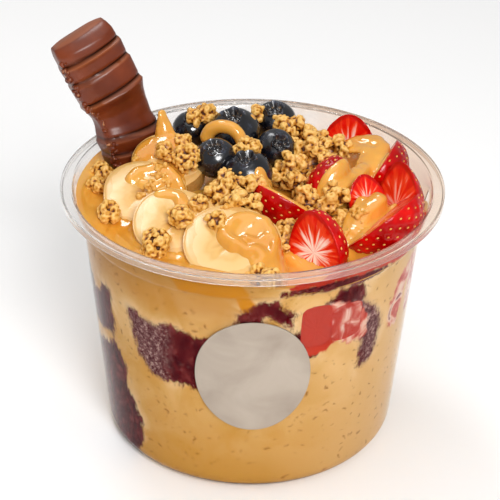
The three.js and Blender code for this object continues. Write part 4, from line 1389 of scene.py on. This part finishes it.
def blurred(heights, spread):
    """A height grid smoothed by a bell curve of the given spread, in cells."""
    reach = int(3 * spread) + 1
    bell = np.exp(-0.5 * (np.arange(-reach, reach + 1) / spread) ** 2)
    bell /= bell.sum()
    for axis in (0, 1):
        pad = [(reach, reach) if axis == i else (0, 0) for i in (0, 1)]
        wide = np.pad(heights, pad, "edge")
        heights = np.apply_along_axis(lambda row: np.convolve(row, bell, "valid"), axis, wide)
    return heights


CELL = 0.5  # spacing of the grid that the poured sauce is draped on
MELT = 0.35  # how softly one stroke of sauce runs into the next


def beads(line):
    """A ribbon as a close row of balls, to be melted into one."""
    row = []
    for x, y, z, thickness in poured_curve(line, 0.5):
        bpy.ops.mesh.primitive_uv_sphere_add(segments=16, ring_count=10, radius=thickness / 2,
                                             location=(x, y, z))
        row.append(bpy.context.object)
    return row


def make_poured_sauce(tree):
    """Sauce draped over the toppings: it bridges their gaps and thins out to a rounded edge,
    and the sheets and the thick ribbon are melted in."""
    x, y = np.meshgrid(np.arange(-44, 50, CELL), np.arange(-50, 44, CELL))
    under = np.empty_like(x)
    for i in np.ndindex(x.shape):
        hit = below(tree, x[i], y[i])
        under[i] = hit.z if hit else CREAM_TOP
    filled = blurred(np.maximum(under, blurred(under, 1.6 / CELL)), 0.7 / CELL)
    flat = np.stack([x, y], axis=-1).reshape(-1, 2)
    on_plane = np.pad(flat, ((0, 0), (0, 1)))
    ragged = lumps(on_plane, 3.2, 11).reshape(x.shape)
    total = np.zeros_like(x)
    for width, height, line in POURED:
        stroke = poured_curve(line)
        gap = np.full(len(flat), 1e9)
        for point in stroke:
            gap = np.minimum(gap, np.hypot(*(flat - point).T))
        part = gap.reshape(x.shape) / (width * (1 + 0.16 * ragged))
        rise = np.where(part < 1, height * np.sqrt(np.maximum(1 - part**2, 0)), width * (1 - part))
        total += np.exp(np.maximum(rise, -3) / MELT)
    rise = MELT * np.log(total)
    ripple = 0.3 * lumps(on_plane, 2.6, 3).reshape(x.shape)
    level = filled + rise - 0.15 + ripple
    kept = rise > -0.9
    for width, line in SHEETS:
        stroke = poured_curve(line)
        gaps = np.hypot(x[..., None] - stroke[:, 0], y[..., None] - stroke[:, 1])
        nearest = gaps.argmin(axis=-1)
        part = gaps.min(axis=-1) / (width * (1 + 0.14 * ragged))
        dome = stroke[nearest, 2] - 1.8 + 1.8 * np.sqrt(np.clip(1 - part**2, 0, 1)) + ripple
        inside = part < 1
        level = np.where(inside, np.maximum(dome, np.where(kept, level, 0)), level)
        kept |= inside
    points = np.stack([x, y, level], axis=-1).reshape(-1, 3)
    rows, columns = x.shape
    corner = np.arange(rows * columns).reshape(rows, columns)
    cells = kept[:-1, :-1] & kept[1:, :-1] & kept[:-1, 1:] & kept[1:, 1:]
    faces = np.stack([corner[:-1, :-1], corner[:-1, 1:], corner[1:, 1:], corner[1:, :-1]], axis=-1)
    sauce = new_piece("poured_sauce", points.tolist(), faces=faces[cells].tolist())
    with editing():
        bpy.ops.mesh.delete_loose()
    modify(sauce, "SOLIDIFY", thickness=1.4, offset=-1)
    sauce = joined([sauce, *beads(ARC)])
    bpy.ops.object.transform_apply()
    melt(sauce, "poured_sauce")
    modify(sauce, "SMOOTH", factor=0.6, iterations=5)
    return finish(sauce, "nut_butter", smooth=180)


# ---------------------------------------------------------------- everything

make_camera()
make_stage()
make_cup()
make_label()
make_filling()
fruit = [make_banana(name, *facts) for name, facts in BANANAS.items()]
fruit += [make_blueberry(name, *facts) for name, facts in BLUEBERRIES.items()]
for name, (at, length, radius, depth, along, face, paleness) in STRAWBERRIES.items():
    fruit.append(make_strawberry(name, pose_of(at, along, face), length, radius, depth, paleness))
for name, facts in WALL_STRAWBERRIES.items():
    make_wall_strawberry(name, *facts)
make_seeds()
bar = make_bar()
pool = make_pool(tree_of([*fruit, bar]))
sauce = make_poured_sauce(tree_of([*fruit, pool]))
make_bar_crumbs(bar)
make_crumbs(tree_of([*fruit, pool, sauce]))
make_granola("granola_heaps", [f"granola_heap_{i}" for i in (1, 2, 3)], 5)
make_granola("granola_clusters", [f"granola_{i}" for i in range(1, 20)], 9)
